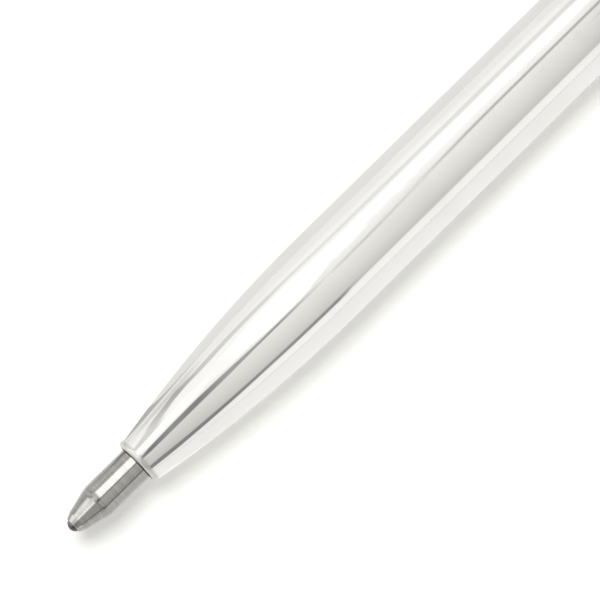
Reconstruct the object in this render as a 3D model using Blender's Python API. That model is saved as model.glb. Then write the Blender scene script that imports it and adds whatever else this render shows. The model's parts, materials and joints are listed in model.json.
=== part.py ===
"""Slim twist-action ballpoint pen in polished silver, with a short link chain and a swivel clasp.

Metres, +Z up. The pen lies along +X on the plane z = 0, with its point towards -X and out.
The chain runs on from the rear end over the same plane, in a slow curve towards +Y.
Stations along the pen are measured from the front of the writing ball.
"""

import math

import bmesh
import bpy
from mathutils import Vector

# Facets
BARREL_SEGMENTS = 40
INNER_SEGMENTS = 28
SMALL_SEGMENTS = 16
NOSE_STEPS = 10
ROUND_STEPS = 3
EDGE_STEPS = 2
BEND_STEPS = 7
WIRE_RESOLUTION = 2
FINE_WIRE_RESOLUTION = 1
SMOOTH_ANGLE = math.radians(35)
WELD = 0.0000001
OVERRUN = 0.0010

# Clearances
SEAT_GAP = 0.00003
PRESS_GAP = 0.00003
RUNNING_GAP = 0.00005
LINK_PLAY = 0.00012

# Writing ball and refill
BALL_RADIUS = 0.00050
BALL_PROUD = 0.00030
BALL_PLAY = 0.00002
RIM_LAND = 0.00004
SWAGE_LENGTH = 0.00042
SWAGE_RADIUS = 0.00070
CONE_LENGTH = 0.00190
REFILL_RADIUS = 0.001175
REFILL_WALL = 0.00020
REFILL_LENGTH = 0.06700
POINT_SHANK = 0.00540
POINT_SPIGOT = 0.00200
INK_CHANNEL_RADIUS = 0.00030
INK_LENGTH = 0.04200
INK_GAP = 0.00030

# Front barrel
POINT_OUT = 0.00573
BARREL_WALL = 0.00040
FRONT_LENGTH = 0.05230
NOSE_LENGTH = 0.01677
LIP_ROUND = 0.00022
LIP_WIDTH = 0.00026
MOUTH_GAP = 0.000145
MOUTH_LENGTH = 0.00250
NOSE_WALL = 0.00070

# Bush, rings and sleeves between the two halves
BUSH_LENGTH = 0.00800
BUSH_NECK = 0.00360
NECK_SKIN = 0.00018
RING_WIDTH = 0.00150
RING_EDGE = 0.00012
FRICTION_WIRE_RADIUS = 0.00023
FRICTION_GROOVE_DEPTH = 0.00024
FRICTION_GROOVE_GAP = 0.00004
FRICTION_PLAY = 0.00003
FRICTION_INSET = 0.00070
FRICTION_STEPS = 8
GUIDE_WALL = 0.00031
GUIDE_SEAT = 0.00700
SNAP_GROOVE_DEPTH = 0.00012
SNAP_WIDTH = 0.00035
SNAP_CLEARANCE = 0.00021
SNAP_LAND = 0.00120
SNAP_OPENING = math.radians(50)
NECK_TO_CAM = 0.00026
CAM_LEAD = 0.00764
CAM_TAIL = 0.00276

# Follower and its pin
POINT_TRAVEL = 0.00610
TWIST_ANGLE = math.pi
FOLLOWER_WALL = 0.000405
FOLLOWER_SOCKET = 0.00800
FOLLOWER_WEB = 0.00250
FOLLOWER_TAIL = 0.00250
COLLET_SLIT = 0.00040
COLLET_SLIT_LENGTH = 0.00500
PIN_RADIUS = 0.00040
PIN_END_GAP = 0.00031
CAM_SLOT_STEPS = 18
CAM_SLOT_END_ANGLE = math.radians(14)

# Rear barrel and end cap
CAP_ROOM = 0.00477
REAR_TAPER_LENGTH = 0.01300
REAR_TAPER_DROP = 0.00036
REAR_TAPER_STEPS = 5
CAP_SPIGOT = 0.00320
CAP_SPIGOT_WALL = 0.00060
CAP_BAND = 0.00080
CAP_DOME = 0.00260
CAP_NECK_RADIUS = 0.00080
CAP_NECK = 0.00060
DOME_STEPS = 5
BALL_RINGS = 10

# Chain wire, links and rings
WIRE_RADIUS = 0.00045
LINK_COUNT = 12
LINK_LENGTH = 0.00740
LINK_WIDTH = 0.00400
LINK_ROLL = math.radians(45)
CAP_LOOP_LENGTH = 0.00460
CAP_LOOP_WIDTH = 0.00420
RING_DIAMETER = 0.00480
RING_SLIT = 0.00008
JUMP_RING_SLOPE = math.radians(20)
CHAIN_BEND = math.radians(9)

# Clasp
EYE_LENGTH = 0.00440
POST_RADIUS = 0.00060
POST_GAP = 0.00006
POST_HEAD_RADIUS = 0.00095
POST_HEAD = 0.00050
NECK_LENGTH = 0.00260
NECK_RADIUS = 0.00150
COLLAR_LENGTH = 0.00080
COLLAR_EDGE = 0.00020
WAIST_DROP = 0.00022
HOOK_HALF_LENGTH = 0.00390
HOOK_HALF_WIDTH = 0.00310
HOOK_BAR = 0.00130
HOOK_EDGE = 0.00042
EDGE_LIMIT_SHARE = 0.9
ROOT_SWELL_SHARE = 0.25
TIP_WIDTH_SHARE = 0.80
TIP_HEIGHT_SHARE = 0.66
HOOK_START = math.radians(134)
ROOT_START = math.radians(200)
ROOT_END = math.radians(255)
HOOK_TAPER_START = math.radians(335)
HOOK_END = math.radians(415)
HOOK_STEPS = 20
END_LEAN = math.radians(72)
PIVOT_ANGLE = math.radians(140)
HUB_RADIUS = 0.00085
HUB_GAP = 0.00012
LEVER_THICKNESS = 0.00120
LEVER_BAR = 0.00090
LEVER_EDGE = 0.00022
LEVER_CLEARANCE = 0.00014
LEVER_TAPER_SHARE = 0.25
GATE_HEIGHT = 0.00220
GATE_TAPER_SHARE = 0.30
SHOULDER_ANGLE = math.radians(117)
SHOULDER_SLOPE = math.radians(2)
DIP_START = math.radians(112)
DIP_END = math.radians(68)
LEVER_END = math.radians(49)
LEVER_STEPS = 7
THUMB_RADIUS = 0.00060
THUMB_ANGLE = math.radians(103)
CHEEK_GAP = 0.00006
CLASP_PIN_RADIUS = 0.00035
CLASP_PIN_GAP = 0.00003
CLASP_PIN_INSET = 0.00010
SPRING_WIRE_RADIUS = 0.00009
SPRING_TURNS = 2.5
SPRING_PITCH = 0.00021
SPRING_STEPS = 10
SPRING_POCKET_WALL = 0.00017

# Sizes across the pen, worked out from the refill outwards
SOCKET_RADIUS = BALL_RADIUS + BALL_PLAY
RIM_RADIUS = math.sqrt(SOCKET_RADIUS**2 - (BALL_RADIUS - BALL_PROUD) ** 2) + RIM_LAND
TUBE_BORE = REFILL_RADIUS - REFILL_WALL
MOUTH_RADIUS = REFILL_RADIUS + MOUTH_GAP
LIP_RADIUS = MOUTH_RADIUS + LIP_WIDTH
COLLET_BORE = REFILL_RADIUS + PRESS_GAP
FOLLOWER_RADIUS = COLLET_BORE + FOLLOWER_WALL
GUIDE_BORE = FOLLOWER_RADIUS + RUNNING_GAP
GUIDE_RADIUS = GUIDE_BORE + GUIDE_WALL
CAM_BORE = GUIDE_RADIUS + RUNNING_GAP
BUSH_BORE = GUIDE_RADIUS + PRESS_GAP
FRICTION_GROOVE_RADIUS = BUSH_BORE + NECK_SKIN
BUSH_NECK_RADIUS = FRICTION_GROOVE_RADIUS + FRICTION_GROOVE_DEPTH
FRICTION_CENTRE = FRICTION_GROOVE_RADIUS + FRICTION_GROOVE_GAP + FRICTION_WIRE_RADIUS
BORE_RADIUS = FRICTION_CENTRE + FRICTION_WIRE_RADIUS + FRICTION_PLAY
PRESSED_RADIUS = BORE_RADIUS - PRESS_GAP
SNAP_RADIUS = BORE_RADIUS - SNAP_CLEARANCE
PIN_REACH = BORE_RADIUS - PIN_END_GAP
BARREL_RADIUS = BORE_RADIUS + BARREL_WALL
NOSE_DROP = BARREL_RADIUS - LIP_RADIUS
REAR_END_RADIUS = BARREL_RADIUS - REAR_TAPER_DROP
AXIS_HEIGHT = BARREL_RADIUS * math.cos(math.pi / BARREL_SEGMENTS)

# Stations along the pen
POINT_SHOULDER = BALL_PROUD + SWAGE_LENGTH + CONE_LENGTH + POINT_SHANK
TUBE_FRONT = POINT_SHOULDER + SEAT_GAP
FRONT_END = POINT_OUT + FRONT_LENGTH
RING_FRONT = FRONT_END + SEAT_GAP
REAR_FRONT = RING_FRONT + RING_WIDTH + SEAT_GAP
NECK_END = FRONT_END + BUSH_NECK
GUIDE_FRONT = FRONT_END - GUIDE_SEAT
PIN_BEHIND_REFILL = REFILL_LENGTH + SEAT_GAP + FOLLOWER_WEB
PIN_BEHIND_NECK = NECK_END + NECK_TO_CAM + CAM_LEAD
PIN_STATION = max(PIN_BEHIND_REFILL, PIN_BEHIND_NECK)
CAM_FRONT = PIN_STATION - CAM_LEAD
CAM_END = PIN_STATION + POINT_TRAVEL + CAM_TAIL
CAM_LENGTH = CAM_END - CAM_FRONT
SNAP_STATION = CAM_END + RUNNING_GAP
GUIDE_END = SNAP_STATION + SNAP_WIDTH + SEAT_GAP + SNAP_LAND
GUIDE_LENGTH = GUIDE_END - GUIDE_FRONT
FOLLOWER_FRONT = REFILL_LENGTH - FOLLOWER_SOCKET + SEAT_GAP
FOLLOWER_LENGTH = PIN_STATION + FOLLOWER_TAIL - FOLLOWER_FRONT
REAR_END = GUIDE_END + CAP_ROOM + CAP_SPIGOT
REAR_LENGTH = REAR_END - REAR_FRONT
CAP_FRONT = REAR_END + SEAT_GAP
CAP_TIP = CAP_FRONT + CAP_BAND + CAP_DOME + CAP_NECK

# The chain and the clasp
WIRE_CROSSING = WIRE_RADIUS + WIRE_RADIUS + LINK_PLAY
LINK_CENTRE_WIDTH = LINK_WIDTH / 2 - WIRE_RADIUS
CHAIN_HEIGHT = WIRE_RADIUS + LINK_CENTRE_WIDTH * math.sin(LINK_ROLL)
RING_ROLL = math.asin((CHAIN_HEIGHT - WIRE_RADIUS) / (RING_DIAMETER / 2 - WIRE_RADIUS))
HOOK_CENTRE = NECK_LENGTH + HOOK_HALF_LENGTH
HALF_BAR = HOOK_BAR / 2
SLOT_HALF_THICKNESS = LEVER_THICKNESS / 2 + CHEEK_GAP
TIP_HALF_BAR = HALF_BAR * TIP_WIDTH_SHARE
LEVER_TIP_HALF = LEVER_BAR / 2 * (1 - LEVER_TAPER_SHARE)
LEVER_DIP = TIP_HALF_BAR + LEVER_CLEARANCE + LEVER_TIP_HALF


def clear_scene():
    """Remove the objects that the scene opens with."""
    for item in list(bpy.data.objects):
        bpy.data.objects.remove(item, do_unlink=True)


def make_material(name, colour, roughness, metallic):
    """One Principled finish."""
    material = bpy.data.materials.new(name)
    material.use_nodes = True
    shader = material.node_tree.nodes["Principled BSDF"]
    shader.inputs["Base Color"].default_value = (*colour, 1)
    shader.inputs["Roughness"].default_value = roughness
    shader.inputs["Metallic"].default_value = metallic
    return material


def make_materials():
    """The finishes of the pen, by name."""
    return {
        "silver": make_material("polished_silver", (0.91, 0.91, 0.90), 0.06, 1),
        "steel": make_material("turned_steel", (0.62, 0.60, 0.58), 0.28, 1),
        "ball": make_material("inked_carbide_ball", (0.10, 0.07, 0.10), 0.15, 1),
        "brass": make_material("turned_brass", (0.80, 0.62, 0.34), 0.25, 1),
        "tube": make_material("refill_brass", (0.72, 0.60, 0.38), 0.35, 1),
        "ink": make_material("blue_black_ink", (0.02, 0.02, 0.09), 0.30, 0),
        "acetal": make_material("natural_acetal", (0.85, 0.84, 0.80), 0.45, 0),
        "rubber": make_material("black_rubber", (0.03, 0.03, 0.03), 0.70, 0),
        "spring": make_material("spring_steel", (0.55, 0.55, 0.56), 0.30, 1),
    }


def add_empty(name, parent=None, location=(0, 0, 0), rotation=(0, 0, 0)):
    """A named empty that carries other objects."""
    empty = bpy.data.objects.new(name, None)
    bpy.context.scene.collection.objects.link(empty)
    empty.parent = parent
    empty.location = location
    empty.rotation_euler = rotation
    return empty


def add_object(name, data, material, parent, location=(0, 0, 0), rotation=(0, 0, 0)):
    """Put a mesh or a curve in the scene as a named piece."""
    if material is not None:
        data.materials.append(material)
    item = bpy.data.objects.new(name, data)
    bpy.context.scene.collection.objects.link(item)
    item.parent = parent
    item.location = location
    item.rotation_euler = rotation
    return item


def mesh_from(name, bm):
    """Turn a closed bmesh into smooth-shaded mesh data."""
    bmesh.ops.remove_doubles(bm, verts=bm.verts, dist=WELD)
    bmesh.ops.recalc_face_normals(bm, faces=bm.faces)
    mesh = bpy.data.meshes.new(name)
    bm.to_mesh(mesh)
    bm.free()
    mesh.shade_smooth()
    mesh.set_sharp_from_angle(angle=SMOOTH_ANGLE)
    return mesh


def turned_mesh(name, outline, segments, closed=True, sweep=math.tau):
    """Spin an outline of (station, radius) points about the local X axis.

    An outline with both ends on the axis is open, and one round a bore is closed.
    Half a facet of turn at the start puts a facet, and not an edge, straight down.
    """
    bm = bmesh.new()
    start = math.pi / segments
    verts = [bm.verts.new((x, r * math.sin(start), r * math.cos(start))) for x, r in outline]
    edges = [bm.edges.new(pair) for pair in zip(verts, verts[1:])]
    if closed:
        edges.append(bm.edges.new((verts[-1], verts[0])))
    full = sweep >= math.tau
    face = [] if full else [bm.faces.new(verts)]
    bmesh.ops.spin(
        bm,
        geom=verts + edges + face,
        axis=(1, 0, 0),
        cent=(0, 0, 0),
        angle=sweep,
        steps=segments,
        use_merge=full,
        use_duplicate=False,
    )
    return mesh_from(name, bm)


def arc(centre, radius, start, end, steps):
    """Points of an arc, both ends included, as (station, radius) pairs."""
    return [
        (
            centre[0] + radius * math.cos(start + (end - start) * i / steps),
            centre[1] + radius * math.sin(start + (end - start) * i / steps),
        )
        for i in range(steps + 1)
    ]


def loft_mesh(name, rings):
    """Skin a row of equal rings of points in flat triangles, and cap both ends."""
    bm = bmesh.new()
    loops = [[bm.verts.new(point) for point in ring] for ring in rings]
    count = len(loops[0])
    for near, far in zip(loops, loops[1:]):
        for i in range(count):
            j = (i + 1) % count
            bm.faces.new((near[i], near[j], far[j], far[i]))
    bm.faces.new(loops[0])
    bm.faces.new(loops[-1])
    bmesh.ops.triangulate(bm, faces=bm.faces[:])
    return mesh_from(name, bm)


def extruded_mesh(name, outline, half_height):
    """Extrude a flat outline of (x, y) points to both sides of its plane."""
    bm = bmesh.new()
    base = [bm.verts.new((x, y, -half_height)) for x, y in outline]
    face = bm.faces.new(base)
    raised = bmesh.ops.extrude_face_region(bm, geom=[face])["geom"]
    top = [v for v in raised if isinstance(v, bmesh.types.BMVert)]
    bmesh.ops.translate(bm, verts=top, vec=(0, 0, half_height + half_height))
    return mesh_from(name, bm)


def rod_mesh(name, radius, half_length, segments=SMALL_SEGMENTS):
    """A round rod along the local Z axis, centred on the origin."""
    bm = bmesh.new()
    bmesh.ops.create_cone(
        bm,
        cap_ends=True,
        segments=segments,
        radius1=radius,
        radius2=radius,
        depth=half_length + half_length,
    )
    return mesh_from(name, bm)


def shape_with(target, tool, operation):
    """Join or cut a piece with a tool object, which stays hidden."""
    tool.hide_render = True
    tool.display_type = "WIRE"
    modifier = target.modifiers.new(tool.name, "BOOLEAN")
    modifier.operation = operation
    modifier.solver = "EXACT"
    modifier.object = tool


def loop_points(length, width, steps=BEND_STEPS):
    """Centre line of an oval loop in the local XY plane, round its own middle, as 3-D points."""
    bend = width / 2
    straight = length / 2 - bend
    points = []
    for end, turn in ((straight, -math.pi / 2), (-straight, math.pi / 2)):
        for i in range(steps + 1):
            angle = turn + math.pi * i / steps
            points.append((end + bend * math.cos(angle), bend * math.sin(angle), 0))
    if straight <= WELD:
        del points[steps + 1]
        del points[-1]
    return points


def wire_curve(name, points, radius, cyclic, resolution=WIRE_RESOLUTION):
    """A round wire along a line of points."""
    curve = bpy.data.curves.new(name, "CURVE")
    curve.dimensions = "3D"
    curve.bevel_depth = radius
    curve.bevel_resolution = resolution
    curve.use_fill_caps = not cyclic
    spline = curve.splines.new("POLY")
    spline.points.add(len(points) - 1)
    for slot, point in zip(spline.points, points):
        slot.co = (*point, 1)
    spline.use_cyclic_u = cyclic
    return curve


def curve_as_mesh(curve):
    """The surface of a wire as mesh data, for pieces that are joined with others."""
    holder = bpy.data.objects.new(curve.name, curve)
    bpy.context.scene.collection.objects.link(holder)
    mesh = bpy.data.meshes.new_from_object(holder)
    bpy.data.objects.remove(holder, do_unlink=True)
    return mesh


def writing_ball(finish, pen):
    """The ball, turning in the swaged rim of the point."""
    bm = bmesh.new()
    bmesh.ops.create_uvsphere(bm, u_segments=SMALL_SEGMENTS, v_segments=BALL_RINGS, radius=BALL_RADIUS)
    mesh = mesh_from("writing_ball", bm)
    return add_object("writing_ball", mesh, finish["ball"], pen, (BALL_RADIUS, 0, 0))


def refill_point(finish, pen):
    """Turned holder: ball socket, swaged rim, cone, shank and the spigot in the tube."""
    rim_angle = math.acos((BALL_RADIUS - BALL_PROUD) / SOCKET_RADIUS)
    seat_angle = math.asin(INK_CHANNEL_RADIUS / SOCKET_RADIUS)
    spigot_end = POINT_SHOULDER + POINT_SPIGOT
    spigot_radius = TUBE_BORE - PRESS_GAP
    swage_end = BALL_PROUD + SWAGE_LENGTH
    cone_end = swage_end + CONE_LENGTH
    outline = [
        (BALL_PROUD, RIM_RADIUS),
        (BALL_PROUD + SWAGE_LENGTH / 2, (RIM_RADIUS + SWAGE_RADIUS + BALL_PLAY) / 2),
        (swage_end, SWAGE_RADIUS),
        (cone_end, REFILL_RADIUS),
        (POINT_SHOULDER, REFILL_RADIUS),
        (POINT_SHOULDER, spigot_radius),
        (spigot_end, spigot_radius),
        (spigot_end, INK_CHANNEL_RADIUS),
    ]
    centre = (BALL_RADIUS, 0)
    steps = ROUND_STEPS + ROUND_STEPS
    outline += arc(centre, SOCKET_RADIUS, seat_angle, math.pi - rim_angle, steps)
    mesh = turned_mesh("refill_point", outline, INNER_SEGMENTS)
    return add_object("refill_point", mesh, finish["steel"], pen)


def refill_tube(finish, pen):
    """The brass tube of the refill, open at its rear end."""
    length = REFILL_LENGTH - TUBE_FRONT
    outline = [(0, TUBE_BORE), (0, REFILL_RADIUS), (length, REFILL_RADIUS), (length, TUBE_BORE)]
    mesh = turned_mesh("refill_tube", outline, INNER_SEGMENTS)
    return add_object("refill_tube", mesh, finish["tube"], pen, (TUBE_FRONT, 0, 0))


def ink_column(finish, pen):
    """The ink that fills the front of the tube."""
    radius = TUBE_BORE - PRESS_GAP
    front = POINT_SHOULDER + POINT_SPIGOT + INK_GAP
    outline = [(0, 0), (0, radius), (INK_LENGTH, radius), (INK_LENGTH, 0)]
    mesh = turned_mesh("ink_column", outline, SMALL_SEGMENTS, closed=False)
    return add_object("ink_column", mesh, finish["ink"], pen, (front, 0, 0))


def nose_radius(station):
    """Outer radius of the front barrel at a distance from its mouth."""
    if station >= NOSE_LENGTH:
        return BARREL_RADIUS
    rest = (NOSE_LENGTH - station) / NOSE_LENGTH
    return BARREL_RADIUS - NOSE_DROP * rest * rest


def front_barrel(finish, pen):
    """Seamless tube drawn down to a curved nose, with a rounded lip round the mouth."""
    lip = nose_radius(LIP_ROUND)
    outline = [(0, MOUTH_RADIUS)]
    outline += arc((LIP_ROUND, lip - LIP_ROUND), LIP_ROUND, math.pi, math.pi / 2, ROUND_STEPS)
    span = NOSE_LENGTH - LIP_ROUND
    for i in range(1, NOSE_STEPS + 1):
        station = LIP_ROUND + span * i / NOSE_STEPS
        outline.append((station, nose_radius(station)))
    outline.append((FRONT_LENGTH, BARREL_RADIUS))
    outline.append((FRONT_LENGTH, BORE_RADIUS))
    outline.append((NOSE_LENGTH, BORE_RADIUS))
    half = (MOUTH_LENGTH + NOSE_LENGTH) / 2
    outline.append((half, nose_radius(half) - NOSE_WALL))
    outline.append((MOUTH_LENGTH, MOUTH_RADIUS))
    mesh = turned_mesh("front_barrel", outline, BARREL_SEGMENTS)
    return add_object("front_barrel", mesh, finish["silver"], pen, (POINT_OUT, 0, 0))


def thread_bush(finish, pen):
    """Brass bush pressed in the front barrel, with a neck for the rings and the rear barrel."""
    neck_end = BUSH_LENGTH + BUSH_NECK
    groove_half = FRICTION_WIRE_RADIUS + FRICTION_GROOVE_GAP
    groove_centre = neck_end - FRICTION_INSET
    outline = [
        (0, BUSH_BORE),
        (0, PRESSED_RADIUS),
        (BUSH_LENGTH, PRESSED_RADIUS),
        (BUSH_LENGTH, BUSH_NECK_RADIUS),
        (groove_centre - groove_half, BUSH_NECK_RADIUS),
        (groove_centre - groove_half, FRICTION_GROOVE_RADIUS),
        (groove_centre + groove_half, FRICTION_GROOVE_RADIUS),
        (groove_centre + groove_half, BUSH_NECK_RADIUS),
        (neck_end, BUSH_NECK_RADIUS),
        (neck_end, BUSH_BORE),
    ]
    mesh = turned_mesh("thread_bush", outline, INNER_SEGMENTS)
    return add_object("thread_bush", mesh, finish["brass"], pen, (FRONT_END - BUSH_LENGTH, 0, 0))


def friction_ring(finish, pen):
    """Rubber ring in the neck's groove, which drags on the rear barrel's bore."""
    centre = (0, FRICTION_CENTRE)
    outline = arc(centre, FRICTION_WIRE_RADIUS, 0, math.tau, FRICTION_STEPS)[:-1]
    mesh = turned_mesh("friction_ring", outline, INNER_SEGMENTS)
    station = NECK_END - FRICTION_INSET
    return add_object("friction_ring", mesh, finish["rubber"], pen, (station, 0, 0))


def centre_ring(finish, pen):
    """Polished ring between the two halves, flush with the barrel, with eased edges."""
    bore = BUSH_NECK_RADIUS + PRESS_GAP
    outline = [
        (0, bore),
        (0, BARREL_RADIUS - RING_EDGE),
        (RING_EDGE, BARREL_RADIUS),
        (RING_WIDTH - RING_EDGE, BARREL_RADIUS),
        (RING_WIDTH, BARREL_RADIUS - RING_EDGE),
        (RING_WIDTH, bore),
    ]
    mesh = turned_mesh("centre_ring", outline, BARREL_SEGMENTS)
    return add_object("centre_ring", mesh, finish["silver"], pen, (RING_FRONT, 0, 0))


def guide_sleeve(finish, pen):
    """Fixed sleeve whose two straight slots keep the follower's pin from turning."""
    groove = GUIDE_RADIUS - SNAP_GROOVE_DEPTH
    groove_end = GUIDE_LENGTH - SNAP_LAND
    groove_start = groove_end - SEAT_GAP - SNAP_WIDTH - SEAT_GAP
    outline = [
        (0, GUIDE_BORE),
        (0, GUIDE_RADIUS),
        (groove_start, GUIDE_RADIUS),
        (groove_start, groove),
        (groove_end, groove),
        (groove_end, GUIDE_RADIUS),
        (GUIDE_LENGTH, GUIDE_RADIUS),
        (GUIDE_LENGTH, GUIDE_BORE),
    ]
    mesh = turned_mesh("guide_sleeve", outline, INNER_SEGMENTS)
    sleeve = add_object("guide_sleeve", mesh, finish["brass"], pen, (GUIDE_FRONT, 0, 0))
    width = PIN_RADIUS + RUNNING_GAP
    points = loop_points(POINT_TRAVEL + width + width, width + width)
    outline = [(x, y) for x, y, z in points]
    slot = extruded_mesh("guide_slots", outline, GUIDE_RADIUS + OVERRUN)
    middle = PIN_STATION - GUIDE_FRONT + POINT_TRAVEL / 2
    tool = add_object("guide_slots", slot, None, sleeve, (middle, 0, 0))
    shape_with(sleeve, tool, "DIFFERENCE")
    return sleeve


def snap_ring(finish, pen):
    """Open ring in the guide sleeve's groove, behind the cam sleeve."""
    bore = GUIDE_RADIUS - SNAP_GROOVE_DEPTH + PRESS_GAP
    outline = [(0, bore), (0, SNAP_RADIUS), (SNAP_WIDTH, SNAP_RADIUS), (SNAP_WIDTH, bore)]
    sweep = math.tau - SNAP_OPENING
    mesh = turned_mesh("snap_ring", outline, INNER_SEGMENTS, sweep=sweep)
    return add_object("snap_ring", mesh, finish["spring"], pen, (SNAP_STATION, 0, 0))


def cam_slot_rings():
    """Rings of a cutter that follows the pin's path in the turning cam sleeve."""
    inner = GUIDE_RADIUS - OVERRUN / 2
    outer = PRESSED_RADIUS + OVERRUN
    rise = POINT_TRAVEL / TWIST_ANGLE
    steepest = math.atan2(rise, CAM_BORE)
    half = (PIN_RADIUS + RUNNING_GAP) / math.cos(steepest)
    first = -CAM_SLOT_END_ANGLE
    last = TWIST_ANGLE + CAM_SLOT_END_ANGLE
    rings = []
    for i in range(CAM_SLOT_STEPS + 1):
        turn = first + (last - first) * i / CAM_SLOT_STEPS
        station = PIN_STATION - CAM_FRONT + rise * turn
        side = Vector((0, math.sin(turn), math.cos(turn)))
        rings.append(
            [
                side * inner + Vector((station - half, 0, 0)),
                side * outer + Vector((station - half, 0, 0)),
                side * outer + Vector((station + half, 0, 0)),
                side * inner + Vector((station + half, 0, 0)),
            ]
        )
    return rings


def cam_sleeve(finish, pen):
    """Sleeve that turns with the rear barrel, with two helical slots that drive the pin."""
    front = [(0, CAM_BORE), (0, PRESSED_RADIUS)]
    outline = front + [(CAM_LENGTH, PRESSED_RADIUS), (CAM_LENGTH, CAM_BORE)]
    mesh = turned_mesh("cam_sleeve", outline, INNER_SEGMENTS)
    sleeve = add_object("cam_sleeve", mesh, finish["acetal"], pen, (CAM_FRONT, 0, 0))
    for number in range(2):
        slot = loft_mesh("cam_slot", cam_slot_rings())
        turn = (math.pi * number, 0, 0)
        tool = add_object(f"cam_slot_{number + 1}", slot, None, sleeve, rotation=turn)
        shape_with(sleeve, tool, "DIFFERENCE")
    return sleeve


def refill_follower(finish, pen):
    """Collet that grips the refill's rear end and carries the cross pin."""
    outline = [
        (FOLLOWER_SOCKET, 0),
        (FOLLOWER_SOCKET, COLLET_BORE),
        (0, COLLET_BORE),
        (0, FOLLOWER_RADIUS),
        (FOLLOWER_LENGTH, FOLLOWER_RADIUS),
        (FOLLOWER_LENGTH, 0),
    ]
    mesh = turned_mesh("refill_follower", outline, INNER_SEGMENTS, closed=False)
    follower = add_object("refill_follower", mesh, finish["acetal"], pen, (FOLLOWER_FRONT, 0, 0))
    slit = [
        (-OVERRUN, -COLLET_SLIT / 2),
        (COLLET_SLIT_LENGTH, -COLLET_SLIT / 2),
        (COLLET_SLIT_LENGTH, COLLET_SLIT / 2),
        (-OVERRUN, COLLET_SLIT / 2),
    ]
    tool = add_object(
        "collet_slits", extruded_mesh("collet_slits", slit, FOLLOWER_RADIUS + OVERRUN), None, follower
    )
    shape_with(follower, tool, "DIFFERENCE")
    hole = rod_mesh("pin_hole", PIN_RADIUS + PRESS_GAP, FOLLOWER_RADIUS + OVERRUN)
    place = (FOLLOWER_LENGTH - FOLLOWER_TAIL, 0, 0)
    shape_with(follower, add_object("pin_hole", hole, None, follower, place), "DIFFERENCE")
    return follower


def follower_pin(finish, pen):
    """Cross pin through the follower, with an end in each pair of slots."""
    mesh = rod_mesh("follower_pin", PIN_RADIUS, PIN_REACH)
    return add_object("follower_pin", mesh, finish["spring"], pen, (PIN_STATION, 0, 0))


def rear_radius(station):
    """Outer radius of the rear barrel at a distance from its front end."""
    taper = max(0, station - REAR_LENGTH + REAR_TAPER_LENGTH) / REAR_TAPER_LENGTH
    return BARREL_RADIUS - REAR_TAPER_DROP * taper * taper


def rear_barrel(finish, pen):
    """The half that is turned by hand, drawn in a little towards the cap."""
    outline = [(0, BORE_RADIUS), (0, BARREL_RADIUS - RING_EDGE), (RING_EDGE, BARREL_RADIUS)]
    for i in range(REAR_TAPER_STEPS + 1):
        station = REAR_LENGTH - REAR_TAPER_LENGTH * (1 - i / REAR_TAPER_STEPS)
        outline.append((station, rear_radius(station)))
    end_bore = REAR_END_RADIUS - BARREL_WALL
    outline.append((REAR_LENGTH, end_bore))
    outline.append((REAR_LENGTH - CAP_SPIGOT - CAP_SPIGOT_WALL, end_bore))
    outline.append((SNAP_STATION - REAR_FRONT, BORE_RADIUS))
    mesh = turned_mesh("rear_barrel", outline, BARREL_SEGMENTS)
    return add_object("rear_barrel", mesh, finish["silver"], pen, (REAR_FRONT, 0, 0))


def end_cap(finish, pen):
    """Domed cap pressed in the rear barrel, with a fixed wire loop brazed to its neck."""
    spigot = REAR_END_RADIUS - BARREL_WALL - PRESS_GAP
    outline = [
        (0, 0),
        (0, spigot - CAP_SPIGOT_WALL),
        (-CAP_SPIGOT, spigot - CAP_SPIGOT_WALL),
        (-CAP_SPIGOT, spigot),
        (0, spigot),
        (0, REAR_END_RADIUS),
    ]
    last = math.acos(CAP_NECK_RADIUS / REAR_END_RADIUS)
    reach = CAP_DOME / math.sin(last)
    for i in range(DOME_STEPS + 1):
        angle = last * i / DOME_STEPS
        outline.append((CAP_BAND + reach * math.sin(angle), REAR_END_RADIUS * math.cos(angle)))
    neck_end = CAP_BAND + CAP_DOME + CAP_NECK + WIRE_RADIUS
    outline.append((neck_end, CAP_NECK_RADIUS))
    outline.append((neck_end, 0))
    mesh = turned_mesh("end_cap", outline, BARREL_SEGMENTS, closed=False)
    cap = add_object("end_cap", mesh, finish["silver"], pen, (CAP_FRONT, 0, 0))
    middle = neck_end - WIRE_RADIUS + CAP_LOOP_LENGTH / 2
    centre_length = CAP_LOOP_LENGTH - WIRE_RADIUS - WIRE_RADIUS
    centre_width = CAP_LOOP_WIDTH - WIRE_RADIUS - WIRE_RADIUS
    points = loop_points(centre_length, centre_width)
    wire = curve_as_mesh(wire_curve("cap_loop", points, WIRE_RADIUS, True))
    tool = add_object("cap_loop", wire, None, cap, (middle, 0, 0), (-LINK_ROLL, 0, 0))
    shape_with(cap, tool, "UNION")
    return cap


def loop_reach(length):
    """How far a loop carries the chain on, from one crossing of wires to the next."""
    return length - WIRE_RADIUS - WIRE_RADIUS - WIRE_CROSSING


def chain_loop(name, material, length, width, frame, parent, slit=0, solid=False):
    """A wire loop threaded on the one before it.

    The origin is the middle of the wire that the loop swings on, local X runs down the
    chain, and local Z is square to the loop, so it is the axis of the swing.
    """
    centre_length = length - WIRE_RADIUS - WIRE_RADIUS
    centre_width = width - WIRE_RADIUS - WIRE_RADIUS
    middle = centre_length / 2 - WIRE_CROSSING
    if slit:
        points = ring_points(centre_length / 2, slit)
    else:
        points = loop_points(centre_length, centre_width)
    points = [(x + middle, y, z) for x, y, z in points]
    curve = wire_curve(name, points, WIRE_RADIUS, not slit)
    location, rotation = frame
    data = curve_as_mesh(curve) if solid else curve
    return add_object(name, data, material, parent, location, rotation)


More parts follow.
